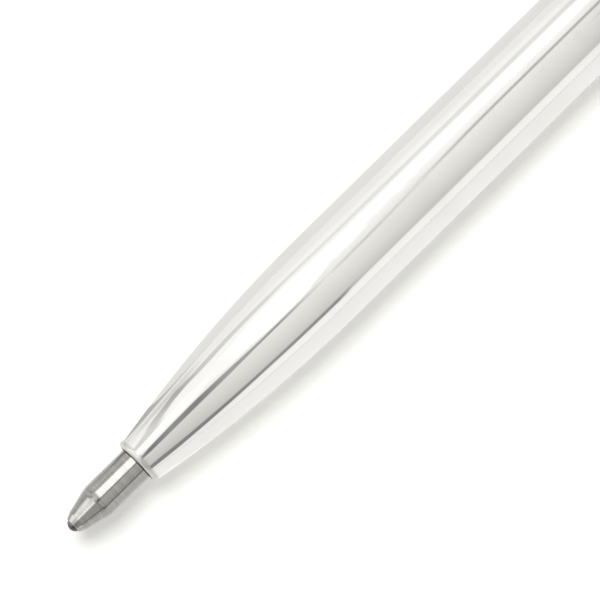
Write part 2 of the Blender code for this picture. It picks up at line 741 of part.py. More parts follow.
def ring_points(radius, slit):
    """Centre line of a bent ring that is open by a fine slit at its side, as 3-D points."""
    steps = BEND_STEPS + BEND_STEPS
    half = slit / radius / 2
    first = math.pi / 2 + half
    points = []
    for i in range(steps + 1):
        angle = first + (math.tau - half - half) * i / steps
        points.append((radius * math.cos(angle), radius * math.sin(angle), 0))
    return points


def heading(number):
    """Direction in plan of a chain member, by its number from the pen."""
    return CHAIN_BEND * number


def turned_frame(location, turn, slope, roll):
    """Location and rotation of a member that runs at a heading, sloping down, rolled on itself."""
    return location, Vector((roll, slope, turn))


def advance(location, turn, slope, distance):
    """The point a distance on from a location, at a heading and a slope down."""
    flat = distance * math.cos(slope)
    step = Vector((flat * math.cos(turn), flat * math.sin(turn), -distance * math.sin(slope)))
    return Vector(location) + step


def build_chain(finish, table):
    """Jump ring, links and clasp ring, each on the wire of the one before; returns the end."""
    tip = CAP_TIP + CAP_LOOP_LENGTH - WIRE_RADIUS
    place = Vector((tip, 0, AXIS_HEIGHT))
    slope = JUMP_RING_SLOPE
    frame = turned_frame(place, heading(0), slope, LINK_ROLL)
    size = (RING_DIAMETER, RING_DIAMETER)
    chain_loop("jump_ring", finish["silver"], *size, frame, table, RING_SLIT)
    place = advance(place, heading(0), slope, loop_reach(RING_DIAMETER))
    for number in range(1, LINK_COUNT + 1):
        drop = place.z - CHAIN_HEIGHT
        slope = math.asin(drop / loop_reach(LINK_LENGTH)) if number == 1 else 0
        roll = -LINK_ROLL if number % 2 else LINK_ROLL
        frame = turned_frame(place, heading(number), slope, roll)
        name = f"chain_link_{number:02d}"
        chain_loop(name, finish["silver"], LINK_LENGTH, LINK_WIDTH, frame, table)
        place = advance(place, heading(number), slope, loop_reach(LINK_LENGTH))
    turn = heading(LINK_COUNT + 1)
    frame = turned_frame(place, turn, 0, -RING_ROLL)
    chain_loop("clasp_ring", finish["silver"], *size, frame, table, RING_SLIT)
    return advance(place, turn, 0, loop_reach(RING_DIAMETER))


def clasp_swivel(finish, table, place, turn):
    """Eye, post and head in one piece: the post turns in the clasp's neck."""
    frame = turned_frame(place, turn, 0, LINK_ROLL)
    size = (EYE_LENGTH, LINK_WIDTH)
    eye = chain_loop("clasp_swivel", finish["silver"], *size, frame, table, solid=True)
    far = EYE_LENGTH - WIRE_RADIUS - WIRE_RADIUS - WIRE_CROSSING
    shoulder = WIRE_RADIUS + SEAT_GAP
    head_front = shoulder + NECK_LENGTH + HALF_BAR + POST_GAP
    outline = [
        (0, 0),
        (0, POST_RADIUS),
        (head_front, POST_RADIUS),
        (head_front, POST_HEAD_RADIUS),
        (head_front + POST_HEAD, POST_HEAD_RADIUS - POST_GAP),
        (head_front + POST_HEAD, 0),
    ]
    mesh = turned_mesh("swivel_post", outline, SMALL_SEGMENTS, closed=False)
    tool = add_object("swivel_post", mesh, None, eye, (far, 0, 0))
    shape_with(eye, tool, "UNION")
    return advance(place, turn, 0, far + shoulder)


def ellipse_point(angle, offset=0):
    """A point on the hook's centre line, moved outwards by an offset."""
    x = HOOK_HALF_LENGTH * math.cos(angle)
    y = HOOK_HALF_WIDTH * math.sin(angle)
    normal = Vector((math.cos(angle) / HOOK_HALF_LENGTH, math.sin(angle) / HOOK_HALF_WIDTH))
    normal.normalize()
    return Vector((HOOK_CENTRE + x + normal.x * offset, y + normal.y * offset))


def ease(share):
    """A share held between 0 and 1, with a smooth start and stop."""
    held = min(1, max(0, share))
    return held * held * (3 - held - held)


def bar_ring(angle, offset, half_width, half_height, edge):
    """Section of a bar with rounded edges, stood across the hook's oval at an angle."""
    radius = min(edge, half_width * EDGE_LIMIT_SHARE)
    ring = []
    for quarter, (side, level) in enumerate(((1, 1), (-1, 1), (-1, -1), (1, -1))):
        centre = (side * (half_width - radius), level * (half_height - radius))
        turn = quarter * math.pi / 2
        for across, height in arc(centre, radius, turn, turn + math.pi / 2, EDGE_STEPS):
            ring.append((*ellipse_point(angle, offset + across), height))
    return ring


def hook_bar(angle):
    """Half width and half height of the hook's bar, which swells at its root and thins to its tip."""
    root = 1 - ease((angle - ROOT_START) / (ROOT_END - ROOT_START))
    drawn = ease((angle - HOOK_TAPER_START) / (HOOK_END - HOOK_TAPER_START))
    half_width = HALF_BAR * (1 + ROOT_SWELL_SHARE * root - (1 - TIP_WIDTH_SHARE) * drawn)
    return half_width, CHAIN_HEIGHT * (1 - (1 - TIP_HEIGHT_SHARE) * drawn)


def rounded_end(angle, direction):
    """Rings that carry the hook's bar on past an angle to a rounded end."""
    half_width, half_height = hook_bar(angle)
    radius = math.hypot(HOOK_HALF_LENGTH * math.cos(angle), HOOK_HALF_WIDTH * math.sin(angle))
    rings = []
    for i in range(1, ROUND_STEPS + 1):
        lean = END_LEAN * i / ROUND_STEPS
        loss = half_width * (1 - math.cos(lean))
        past = angle + direction * half_width * math.sin(lean) / radius
        rings.append(bar_ring(past, 0, half_width - loss, half_height - loss, HOOK_EDGE))
    return rings


def clasp_neck():
    """Mesh of the neck: a collar round the swivel, a waist and a flare into the hook."""
    waist = NECK_RADIUS - WAIST_DROP
    outline = [(0, 0), (0, NECK_RADIUS - COLLAR_EDGE)]
    outline += [(COLLAR_EDGE, NECK_RADIUS), (COLLAR_LENGTH - COLLAR_EDGE, NECK_RADIUS)]
    outline += [(COLLAR_LENGTH, waist), (COLLAR_LENGTH + WAIST_DROP, waist)]
    outline += [(NECK_LENGTH - HALF_BAR, NECK_RADIUS - COLLAR_EDGE), (NECK_LENGTH, NECK_RADIUS)]
    outline.append((NECK_LENGTH, 0))
    return turned_mesh("clasp_neck", outline, SMALL_SEGMENTS, closed=False)


def clasp_body(finish, carrier):
    """Hooked body: a rounded bar bent round an oval, a bored neck, and cheeks for the lever."""
    rings = rounded_end(HOOK_START, -1)[::-1]
    for i in range(HOOK_STEPS + 1):
        angle = HOOK_START + (HOOK_END - HOOK_START) * i / HOOK_STEPS
        rings.append(bar_ring(angle, 0, *hook_bar(angle), HOOK_EDGE))
    rings += rounded_end(HOOK_END, 1)
    body = add_object("clasp_body", loft_mesh("clasp_body", rings), finish["silver"], carrier)
    shape_with(body, add_object("clasp_neck", clasp_neck(), None, body), "UNION")
    pivot = ellipse_point(PIVOT_ANGLE)
    reach = HUB_RADIUS + HUB_GAP
    slot = [
        (pivot.x - reach, pivot.y - reach),
        (HOOK_CENTRE, pivot.y - reach),
        (HOOK_CENTRE, HOOK_HALF_WIDTH + OVERRUN),
        (pivot.x - reach, HOOK_HALF_WIDTH + OVERRUN),
    ]
    mesh = extruded_mesh("cheek_slot", slot, SLOT_HALF_THICKNESS)
    shape_with(body, add_object("cheek_slot", mesh, None, body), "DIFFERENCE")
    hole = rod_mesh("cheek_holes", CLASP_PIN_RADIUS + CLASP_PIN_GAP, CHAIN_HEIGHT + OVERRUN)
    tool = add_object("cheek_holes", hole, None, body, (pivot.x, pivot.y, 0))
    shape_with(body, tool, "DIFFERENCE")
    seat = NECK_LENGTH + HALF_BAR
    seat_end = seat + POST_HEAD + POST_GAP + POST_GAP
    bore = POST_RADIUS + POST_GAP
    wide = POST_HEAD_RADIUS + POST_GAP
    outline = [(-OVERRUN, 0), (-OVERRUN, bore), (seat, bore), (seat, wide)]
    outline += [(seat_end, wide), (seat_end, 0)]
    mesh = turned_mesh("neck_bore", outline, SMALL_SEGMENTS, closed=False)
    shape_with(body, add_object("neck_bore", mesh, None, body), "DIFFERENCE")
    return body


def lever_ring(angle, half_height, share):
    """A section of the lever: it follows the hook's oval, then dips inside the hook's tip."""
    dip = ease((DIP_START - angle) / (DIP_START - DIP_END)) * LEVER_DIP
    half_width = LEVER_BAR / 2 * (1 - LEVER_TAPER_SHARE * share)
    pivot = ellipse_point(PIVOT_ANGLE)
    ring = bar_ring(angle, -dip, half_width, half_height, LEVER_EDGE)
    return [(x - pivot.x, y - pivot.y, z) for x, y, z in ring]


def lever_rings():
    """Sections of a narrow tongue between the cheeks and of the full-height gate beyond them."""
    tongue = LEVER_THICKNESS / 2
    gate = GATE_HEIGHT / 2
    rings = [lever_ring(PIVOT_ANGLE, tongue, 0), lever_ring(SHOULDER_ANGLE, tongue, 0)]
    start = SHOULDER_ANGLE - SHOULDER_SLOPE
    for i in range(LEVER_STEPS + 1):
        share = i / LEVER_STEPS
        angle = start + (LEVER_END - start) * share
        rings.append(lever_ring(angle, gate * (1 - GATE_TAPER_SHARE * share), share))
    return rings


def clasp_lever(finish, carrier):
    """Sprung lever that closes the hook from inside, with its hub, thumb knob and spring pocket."""
    pivot = ellipse_point(PIVOT_ANGLE)
    mesh = loft_mesh("clasp_lever", lever_rings())
    place = (pivot.x, pivot.y, 0)
    lever = add_object("clasp_lever", mesh, finish["silver"], carrier, place)
    hub = rod_mesh("lever_hub", HUB_RADIUS, LEVER_THICKNESS / 2)
    shape_with(lever, add_object("lever_hub", hub, None, lever), "UNION")
    knob_place = ellipse_point(THUMB_ANGLE, LEVER_BAR / 2) - pivot
    knob = rod_mesh("thumb_knob", THUMB_RADIUS, GATE_HEIGHT / 2 - LEVER_EDGE)
    knob_location = (knob_place.x, knob_place.y, 0)
    shape_with(lever, add_object("thumb_knob", knob, None, lever, knob_location), "UNION")
    hole = rod_mesh("hub_hole", CLASP_PIN_RADIUS + CLASP_PIN_GAP, LEVER_THICKNESS)
    shape_with(lever, add_object("hub_hole", hole, None, lever), "DIFFERENCE")
    pocket = rod_mesh("spring_pocket", HUB_RADIUS - SPRING_POCKET_WALL, spring_height() / 2)
    level = (0, 0, LEVER_THICKNESS / 2)
    shape_with(lever, add_object("spring_pocket", pocket, None, lever, level), "DIFFERENCE")
    return lever


def spring_height():
    """Twice the depth of the lever's spring pocket."""
    depth = SPRING_TURNS * SPRING_PITCH + SPRING_WIRE_RADIUS + SPRING_WIRE_RADIUS + CHEEK_GAP
    return depth + depth


def clasp_spring(finish, carrier):
    """The coil that closes the lever, round the pin in the hub's pocket."""
    pivot = ellipse_point(PIVOT_ANGLE)
    pocket = HUB_RADIUS - SPRING_POCKET_WALL
    mean = (pocket + CLASP_PIN_RADIUS) / 2
    count = int(SPRING_TURNS * SPRING_STEPS)
    low = LEVER_THICKNESS / 2 - SPRING_WIRE_RADIUS - SPRING_TURNS * SPRING_PITCH
    points = []
    for i in range(count + 1):
        turn = math.tau * i / SPRING_STEPS
        height = low + SPRING_PITCH * i / SPRING_STEPS
        points.append((mean * math.cos(turn), mean * math.sin(turn), height))
    wire = wire_curve("clasp_spring", points, SPRING_WIRE_RADIUS, False, FINE_WIRE_RESOLUTION)
    return add_object("clasp_spring", wire, finish["spring"], carrier, (pivot.x, pivot.y, 0))


def clasp_pin(finish, carrier):
    """Pin through both cheeks and the lever's hub."""
    pivot = ellipse_point(PIVOT_ANGLE)
    mesh = rod_mesh("clasp_pin", CLASP_PIN_RADIUS, CHAIN_HEIGHT - CLASP_PIN_INSET)
    return add_object("clasp_pin", mesh, finish["spring"], carrier, (pivot.x, pivot.y, 0))


def build_clasp(finish, table, place):
    """Swivel eye on the clasp ring, and the clasp lying flat behind it."""
    turn = heading(LINK_COUNT + 2)
    neck = clasp_swivel(finish, table, place, turn)
    carrier = add_empty("clasp_axis", table, neck, (0, 0, turn))
    clasp_body(finish, carrier)
    clasp_lever(finish, carrier)
    clasp_pin(finish, carrier)
    clasp_spring(finish, carrier)


def build_pen(finish, pen):
    """Everything on the pen's own axis, from the point to the cap."""
    pieces = (
        writing_ball,
        refill_point,
        refill_tube,
        ink_column,
        front_barrel,
        thread_bush,
        friction_ring,
        centre_ring,
        guide_sleeve,
        snap_ring,
        cam_sleeve,
        refill_follower,
        follower_pin,
        rear_barrel,
        end_cap,
    )
    for piece in pieces:
        piece(finish, pen)


def world_bounds():
    """Lowest and highest corner of every visible piece."""
    bpy.context.view_layer.update()
    depsgraph = bpy.context.evaluated_depsgraph_get()
    low = Vector((math.inf, math.inf, math.inf))
    high = -low
    for item in bpy.context.scene.objects:
        if item.type == "EMPTY" or item.hide_render:
            continue
        shown = item.evaluated_get(depsgraph)
        mesh = shown.to_mesh()
        for vertex in mesh.vertices:
            point = shown.matrix_world @ vertex.co
            low = Vector(map(min, low, point))
            high = Vector(map(max, high, point))
        shown.to_mesh_clear()
    return low, high


def centre_over_origin(table):
    """Move the whole part so that the origin is under the middle of its box."""
    low, high = world_bounds()
    middle = (low + high) / 2
    table.location = (-middle.x, -middle.y, 0)
    bpy.context.view_layer.update()


def main():
    """Build the pen, the chain and the clasp, then set the origin."""
    clear_scene()
    finish = make_materials()
    table = add_empty("table")
    pen = add_empty("pen_axis", table, (0, 0, AXIS_HEIGHT))
    build_pen(finish, pen)
    end = build_chain(finish, table)
    build_clasp(finish, table, end)
    centre_over_origin(table)


main()
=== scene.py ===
"""Looks of a slim polished ballpoint pen, its link chain and its swivel clasp.

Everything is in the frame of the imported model: metres, +Z up. The pen lies along +X on the
plane z = 0 with its point towards -X, and the chain curves from its rear end towards +Y.
"""

import json
import logging
import math
from dataclasses import dataclass, field
from enum import Enum
from typing import Any, Sequence

import bmesh
import bpy
from mathutils import Matrix, Vector


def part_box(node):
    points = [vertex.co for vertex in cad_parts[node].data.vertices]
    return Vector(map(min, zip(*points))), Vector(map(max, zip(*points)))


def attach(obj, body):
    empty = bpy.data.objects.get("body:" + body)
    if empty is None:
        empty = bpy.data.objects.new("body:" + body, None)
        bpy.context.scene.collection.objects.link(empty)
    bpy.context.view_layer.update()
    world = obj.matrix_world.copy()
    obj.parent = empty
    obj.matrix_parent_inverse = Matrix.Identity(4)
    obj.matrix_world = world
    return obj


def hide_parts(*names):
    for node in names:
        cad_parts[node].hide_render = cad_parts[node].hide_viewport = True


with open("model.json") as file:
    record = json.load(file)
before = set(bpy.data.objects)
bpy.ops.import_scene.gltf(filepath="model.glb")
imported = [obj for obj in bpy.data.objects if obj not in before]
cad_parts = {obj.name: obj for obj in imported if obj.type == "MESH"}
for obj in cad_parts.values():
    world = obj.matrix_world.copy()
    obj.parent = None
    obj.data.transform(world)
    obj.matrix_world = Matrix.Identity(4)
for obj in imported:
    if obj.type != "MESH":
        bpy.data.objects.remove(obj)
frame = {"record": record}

LOG = logging.getLogger("pen")
MM = 0.001
MICRON = 0.000001
QUARTER = math.pi / 2
SHARP_ANGLE = math.radians(32)
WELD = 0.00000005
SEAT_GAP = 0.03 * MM
CORNER_STEPS = 6
ROD_SEGMENTS = 64
MIX_COLOURS = slice(6, 8)  # the Mix node's two colour inputs
MIX_RESULT = 2  # and its colour output

Point = tuple[float, float]
Range = tuple[float, float]
Corner = tuple[float, float, float]
Colour = tuple[float, float, float]
Scale = tuple[float, float, float]
Section = list[Point]
Item = bpy.types.Object
Material = bpy.types.Material
Mesh = bpy.types.Mesh
Node = bpy.types.Node
Socket = bpy.types.NodeSocket


class Slot(Enum):
    """Material slots of the record that each visual piece is listed with; nothing reads them."""

    SILVER = "silver"
    STEEL = "steel"
    BALL = "ball"
    SPRING = "spring"


class SocketKind(Enum):
    """Kinds of input that a Geometry Nodes tree takes."""

    FLOAT = "NodeSocketFloat"
    INT = "NodeSocketInt"
    MATERIAL = "NodeSocketMaterial"
    GEOMETRY = "NodeSocketGeometry"


class Join(Enum):
    """What an exact Boolean does with its tool."""

    ADD = "UNION"
    CUT = "DIFFERENCE"


def linear(level: float) -> float:
    """Linear strength of a display grey from 0 to 255, by the usual curve of displays."""
    share = level / 255
    return share / 12.92 if share <= 0.04045 else ((share + 0.055) / 1.055) ** 2.4


def ease(share: float) -> float:
    """A share held between 0 and 1, with a smooth start and stop."""
    held = min(1.0, max(0.0, share))
    return held * held * (3 - 2 * held)


def between(stops: Sequence[Sequence[float]], key: float) -> list[float]:
    """Read a table of stops at a key.

    Args:
        stops: Rows whose first number is the key, in rising order.
        key: Where the table is read; it is held between the first and the last row.

    Returns:
        The other numbers of the row, in straight steps between its neighbours.
    """
    if key <= stops[0][0]:
        return list(stops[0][1:])
    for near, far in zip(stops, stops[1:]):
        if key <= far[0]:
            share = (key - near[0]) / (far[0] - near[0])
            return [a + (b - a) * share for a, b in zip(near[1:], far[1:])]
    return list(stops[-1][1:])


def arc(centre: Point, radius: float, start: float, end: float, steps: int) -> Section:
    """Points of an arc, both ends included.

    Args:
        centre: Middle of the arc.
        radius: Radius of the arc.
        start: First angle in radians, from the first coordinate's direction.
        end: Last angle in radians.
        steps: Number of chords.

    Returns:
        The points in order.
    """
    points = []
    for i in range(steps + 1):
        angle = start + (end - start) * i / steps
        points.append((centre[0] + radius * math.cos(angle), centre[1] + radius * math.sin(angle)))
    return points


def bent(start: Vector, corner: Vector, end: Vector, steps: int) -> Section:
    """Points of a soft bend from one line into another, both ends included.

    Args:
        start: Where the bend leaves the first line.
        corner: Where the two lines meet.
        end: Where the bend reaches the second line.
        steps: Number of chords.

    Returns:
        The points in order.
    """
    points = []
    for i in range(steps + 1):
        share = i / steps
        point = start.lerp(corner, share).lerp(corner.lerp(end, share), share)
        points.append((point.x, point.y))
    return points


def eased(corners: Sequence[Corner], steps: int = CORNER_STEPS) -> Section:
    """Round the corners of a closed outline.

    Args:
        corners: Corners as (station, radius, length taken off each side); zero keeps it sharp.
        steps: Number of chords in each rounded corner.

    Returns:
        The outline as (station, radius) pairs.
    """
    outline: Section = []
    for i, (x, r, cut) in enumerate(corners):
        if not cut:
            outline.append((x, r))
            continue
        here = Vector((x, r))
        before = Vector(corners[i - 1][:2]) - here
        after = Vector(corners[(i + 1) % len(corners)][:2]) - here
        start = here + before.normalized() * min(cut, before.length / 2)
        end = here + after.normalized() * min(cut, after.length / 2)
        outline += bent(start, here, end, steps)
    return outline


def stretch(near: Point, far: Point, steps: int) -> Section:
    """Points on a straight line, from past its near end up to and with its far end."""
    return [tuple(Vector(near).lerp(Vector(far), i / steps)) for i in range(1, steps)] + [far]


@dataclass(frozen=True)
class PenAxis:
    """The pen's axis and the stations on it, read from the frame."""

    side: float
    height: float
    radius: float
    tip: float
    mouth: float
    front_end: float
    ring_front: float
    ring_end: float
    rear_front: float
    rear_end: float
    cap_inner: float

    @classmethod
    def from_frame(cls) -> "PenAxis":
        """Read the stations from the boxes of the nodes on the axis.

        Returns:
            The axis.
        """
        low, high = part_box("front_barrel")
        ring_low, ring_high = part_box("centre_ring")
        rear_low, rear_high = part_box("rear_barrel")
        return cls(
            side=(low.y + high.y) / 2,
            height=(low.z + high.z) / 2,
            radius=(high.z - low.z) / 2,
            tip=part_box("writing_ball")[0].x,
            mouth=low.x,
            front_end=high.x,
            ring_front=ring_low.x,
            ring_end=ring_high.x,
            rear_front=rear_low.x,
            rear_end=rear_high.x,
            cap_inner=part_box("end_cap")[0].x,
        )

    def at(self, station: float, roll: float = 0.0) -> Matrix:
        """Frame at a station on the axis, rolled about it."""
        place = Matrix.Translation((station, self.side, self.height))
        return place @ Matrix.Rotation(roll, 4, "X")


def joint_named(name: str) -> dict[str, Any]:
    """The record's row for a joint."""
    joints = frame["record"]["behaviour"]["joints"]
    return next(joint for joint in joints if joint["name"] == name)


def frame_between(origin: Vector, onward: Vector, upright: Vector) -> Matrix:
    """Frame at an origin, with X towards a point and Z along a direction square to it.

    Args:
        origin: Where the frame stands.
        onward: Point that X aims at.
        upright: Direction that Z leans to.

    Returns:
        The frame.
    """
    x = (onward - origin).normalized()
    z = (upright - x * upright.dot(x)).normalized()
    y = z.cross(x)
    turn = Matrix((x, y, z)).transposed().to_4x4()
    return Matrix.Translation(origin) @ turn


def closed_mesh(name: str, bm: bmesh.types.BMesh) -> Mesh:
    """Turn a closed bmesh into mesh data with its faces outwards.

    Args:
        name: Name of the mesh.
        bm: The bmesh, which is freed.

    Returns:
        The mesh.
    """
    bmesh.ops.remove_doubles(bm, verts=bm.verts, dist=WELD)
    bmesh.ops.recalc_face_normals(bm, faces=bm.faces)
    mesh = bpy.data.meshes.new(name)
    bm.to_mesh(mesh)
    bm.free()
    return mesh


def turned(name: str, section: Section, segments: int) -> Mesh:
    """Turn a closed section about the local X axis.

    Args:
        name: Name of the mesh.
        section: Outline as (station, radius) pairs; a radius of zero makes a pole.
        segments: Number of facets round the axis.

    Returns:
        The turned mesh.
    """
    bm = bmesh.new()
    rows = []
    for i in range(segments):
        angle = math.tau * i / segments
        rows.append([bm.verts.new((x, r * math.sin(angle), r * math.cos(angle))) for x, r in section])
    count = len(section)
    for near, far in zip(rows, rows[1:] + rows[:1]):
        for i in range(count):
            j = (i + 1) % count
            if section[i][1] or section[j][1]:
                bm.faces.new((near[i], near[j], far[j], far[i]))
    return closed_mesh(name, bm)


def lofted(name: str, rings: Sequence[Sequence[Sequence[float]]]) -> Mesh:
    """Skin a row of equal rings of points and cap both ends.

    Args:
        name: Name of the mesh.
        rings: The rings, each with the same number of points.

    Returns:
        The closed mesh.
    """
    bm = bmesh.new()
    loops = [[bm.verts.new(point) for point in ring] for ring in rings]
    count = len(loops[0])
    for near, far in zip(loops, loops[1:]):
        for i in range(count):
            j = (i + 1) % count
            bm.faces.new((near[i], near[j], far[j], far[i]))
    bm.faces.new(loops[0])
    bm.faces.new(loops[-1])
    return closed_mesh(name, bm)


def block(name: str, outline: Section, half_height: float) -> Mesh:
    """A cutter with a flat outline in XY and the same height to both sides."""
    levels = (-half_height, half_height)
    return lofted(name, [[(x, y, level) for x, y in outline] for level in levels])


def rod(name: str, radius: float, half_length: float, round_off: float = 0.0) -> Mesh:
    """A round rod along the local Z axis, centred on the origin.

    Args:
        name: Name of the mesh.
        radius: Its radius.
        half_length: Half its length.
        round_off: How much its end edges are eased.

    Returns:
        The mesh.
    """
    corners = [
        (-half_length, 0, 0),
        (-half_length, radius, round_off),
        (half_length, radius, round_off),
        (half_length, 0, 0),
    ]
    mesh = turned(name, eased(corners), ROD_SEGMENTS)
    mesh.transform(Matrix.Rotation(-QUARTER, 4, "Y"))
    return mesh


def placed(mesh: Mesh, matrix: Matrix | None = None) -> Item:
    """Put a mesh in the scene with its place in its points.

    Args:
        mesh: The mesh, which gives the object its name.
        matrix: Where it goes, or nothing to leave it as it is.

    Returns:
        The object.
    """
    if matrix is not None:
        mesh.transform(matrix)
    item = bpy.data.objects.new(mesh.name, mesh)
    bpy.context.scene.collection.objects.link(item)
    return item


def shape(target: Item, tool: Mesh, how: Join, place: Sequence[float] = (0, 0, 0)) -> None:
    """Join a tool to a piece, or cut it away, and keep the plain result.

    Args:
        target: The piece.
        tool: Closed mesh of the tool.
        how: Whether it is added or cut away.
        place: Where the tool's own origin goes.
    """
    holder = placed(tool, Matrix.Translation(place))
    modifier = target.modifiers.new(tool.name, "BOOLEAN")
    modifier.operation = how.value
    modifier.solver = "EXACT"
    modifier.object = holder
    depsgraph = bpy.context.evaluated_depsgraph_get()
    target.data = bpy.data.meshes.new_from_object(target.evaluated_get(depsgraph))
    target.modifiers.clear()
    bpy.data.objects.remove(holder)


def dress(item: Item, material: Material, body: str, slot: Slot, *nodes: str) -> None:
    """Shade a piece smooth up to its sharp edges, give it its finish and hang it on its body.

    Args:
        item: The piece, at the origin.
        material: Its finish.
        body: Name of the body that it moves with.
        slot: The record's slot for its finish; it is not used.
        nodes: Nodes that it stands for.
    """
    item.data.shade_smooth()
    item.data.set_sharp_from_angle(angle=SHARP_ANGLE)
    item.data.materials.clear()
    item.data.materials.append(material)
    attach(item, body)
    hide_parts(*nodes)
    LOG.info("%s: %d faces, rides on %s", item.name, len(item.data.polygons), body)


class NodeGraph:
    """Short calls for the nodes of one tree."""

    def __init__(self, tree: bpy.types.NodeTree) -> None:
        """Keep the tree that the nodes go in."""
        self.tree = tree

    def put(self, target: Socket, source: Any) -> None:
        """Join a socket to another, or set its value.

        Args:
            target: The input.
            source: A socket, or the input's own value.
        """
        if isinstance(source, Socket):
            self.tree.links.new(source, target)
        else:
            target.default_value = source

    def fill(self, node: Node, sources: dict[str, Any]) -> None:
        """Fill a node's inputs; an underscore in a name stands for a space."""
        for name, source in sources.items():
            self.put(node.inputs[name.replace("_", " ")], source)

    def add(self, kind: str, settings: dict[str, Any] | None = None, **sources: Any) -> Node:
        """Add a node.

        Args:
            kind: Blender's name for the node.
            settings: Properties of the node.
            sources: What goes in its inputs; an underscore stands for a space.

        Returns:
            The node.
        """
        node = self.tree.nodes.new(kind)
        for name, value in (settings or {}).items():
            setattr(node, name, value)
        self.fill(node, sources)
        return node

    def sum(self, how: str, *terms: Any) -> Socket:
        """One step of arithmetic.

        Args:
            how: Blender's name for the operation.
            terms: Sockets or numbers.

        Returns:
            The result.
        """
        node = self.add("ShaderNodeMath", {"operation": how})
        for target, source in zip(node.inputs, terms):
            self.put(target, source)
        return node.outputs[0]

    def parts(self, vector: Socket) -> Sequence[Socket]:
        """The three parts of a vector."""
        return self.add("ShaderNodeSeparateXYZ", Vector=vector).outputs

    def seen(self) -> Socket:
        """One for rays of the camera, reflections and transmission, and zero for other rays.

        Returns:
            The number.
        """
        rays = self.add("ShaderNodeLightPath").outputs
        either = self.sum("MAXIMUM", rays["Is Camera Ray"], rays["Is Glossy Ray"])
        return self.sum("MAXIMUM", either, rays["Is Transmission Ray"])


class ShaderGraph(NodeGraph):
    """Short calls for the nodes of one material."""

    def __init__(self, name: str) -> None:
        """Start a material with its Principled shader.

        Args:
            name: Name of the material.
        """
        self.material = bpy.data.materials.new(name)
        self.material.use_nodes = True
        super().__init__(self.material.node_tree)
        self.shader = self.tree.nodes["Principled BSDF"]

    def shade(self, **sources: Any) -> None:
        """Fill inputs of the shader; an underscore in a name stands for a space."""
        self.fill(self.shader, sources)

    def place(self, scale: Scale = (1, 1, 1)) -> Socket:
        """Object coordinates, scaled along each axis."""
        point = self.add("ShaderNodeTexCoord").outputs["Object"]
        return self.add("ShaderNodeMapping", Scale=scale, Vector=point).outputs["Vector"]

    def noise(
        self, vector: Socket, scale: float = 1, detail: float = 2, roughness: float = 0.5
    ) -> Socket:
        """Noise over a vector.

        Args:
            vector: Where it is read.
            scale: How often it changes in a metre.
            detail: Number of finer layers.
            roughness: Strength of the finer layers.

        Returns:
            The noise, between 0 and 1.
        """
        node = self.add("ShaderNodeTexNoise", Scale=scale, Detail=detail, Roughness=roughness)
        self.put(node.inputs["Vector"], vector)
        return node.outputs["Fac"]

    def ranged(self, value: Socket, first: Range, then: Range = (0, 1)) -> Socket:
        """A value carried smoothly from one range to another.

        Args:
            value: The value.
            first: Range that it comes from.
            then: Range that it goes to.

        Returns:
            The carried value.
        """
        node = self.add("ShaderNodeMapRange", {"interpolation_type": "SMOOTHSTEP"}, Value=value)
        labels = ("From Min", "From Max", "To Min", "To Max")
        self.fill(node, dict(zip(labels, (*first, *then))))
        return node.outputs["Result"]

    def mixed(self, share: Socket, first: Any, second: Any) -> Socket:
        """Two colours mixed.

        Args:
            share: Share of the second colour.
            first: A colour or a colour socket.
            second: A colour or a colour socket.

        Returns:
            The mixed colour.
        """
        node = self.add("ShaderNodeMix", {"data_type": "RGBA"}, Factor=share)
        for target, source in zip(node.inputs[MIX_COLOURS], (first, second)):
            self.put(target, source if isinstance(source, Socket) else (*source, 1))
        return node.outputs[MIX_RESULT]

    def relief(self, height: Socket, depth: float) -> None:
        """Raise the surface by a height between 0 and 1 times a depth in metres."""
        bump = self.add("ShaderNodeBump", Strength=1, Distance=depth, Height=height)
        self.shade(Normal=bump.outputs["Normal"])


@dataclass(frozen=True)
class PolishedSilver:
    """Mirror-polished silver with faint smears, hairlines, a slight ripple and a matt lip with painted
    shade.

    The ranges named from are those of the noise that the worn colour or the roughness follows.
    The metal is matt, with its colour darkened as painted shade, in front of the lip's station, which by
    default is in front of the whole pen.
    """

    name: str
    colour: Colour = (0.965, 0.96, 0.945)
    worn: Colour = (0.94, 0.934, 0.915)
    worn_from: Range = (0.4, 0.75)
    roughness: Range = (0.04, 0.09)
    rough_from: Range = (0.18, 0.42)
    smear_scale: float = 260
    smear_detail: float = 3
    patch_scale: float = 1040
    patch_detail: float = 4
    hairline_scale: Scale = (700, 12000, 12000)
    hairline_depth: float = 0.10 * MICRON
    ripple_scale: float = 300
    ripple_depth: float = 2.0 * MICRON
    lip: float = -1.0
    lip_fade: float = 0.25 * MM
    # Painted shade: the lip's darker colour stands for the shade on its rounded edge; its roughness is its
    # real matt finish.
    shaded_lip_colour: Colour = (0.69, 0.68, 0.645)
    lip_rough: float = 0.34

    def build(self) -> Material:
        """Make the material.

        Returns:
            The material.
        """
        graph = ShaderGraph(self.name)
        place = graph.place()
        smear = graph.noise(place, self.smear_scale, self.smear_detail)
        patch = graph.noise(place, self.patch_scale, self.patch_detail)
        rough = graph.ranged(graph.sum("MULTIPLY", smear, patch), self.rough_from, self.roughness)
        tone = graph.mixed(graph.ranged(smear, self.worn_from), self.colour, self.worn)
        # Share that is polished and unshaded: in front of the lip it is 0, where the lip is matt and
        # painted with shade.
        unshaded_polish = graph.ranged(graph.parts(place)[0], (self.lip, self.lip + self.lip_fade))
        matt = graph.sum("MULTIPLY", graph.sum("SUBTRACT", 1, unshaded_polish), self.lip_rough)
        hairline = graph.noise(graph.place(self.hairline_scale), detail=1)
        fine = graph.sum("MULTIPLY", hairline, self.hairline_depth / self.ripple_depth)
        ripple = graph.noise(place, self.ripple_scale, detail=0)
        graph.relief(graph.sum("ADD", ripple, fine), self.ripple_depth)
        graph.shade(Base_Color=graph.mixed(unshaded_polish, self.shaded_lip_colour, tone), Metallic=1)
        graph.shade(Roughness=graph.sum("ADD", rough, matt))
        return graph.material


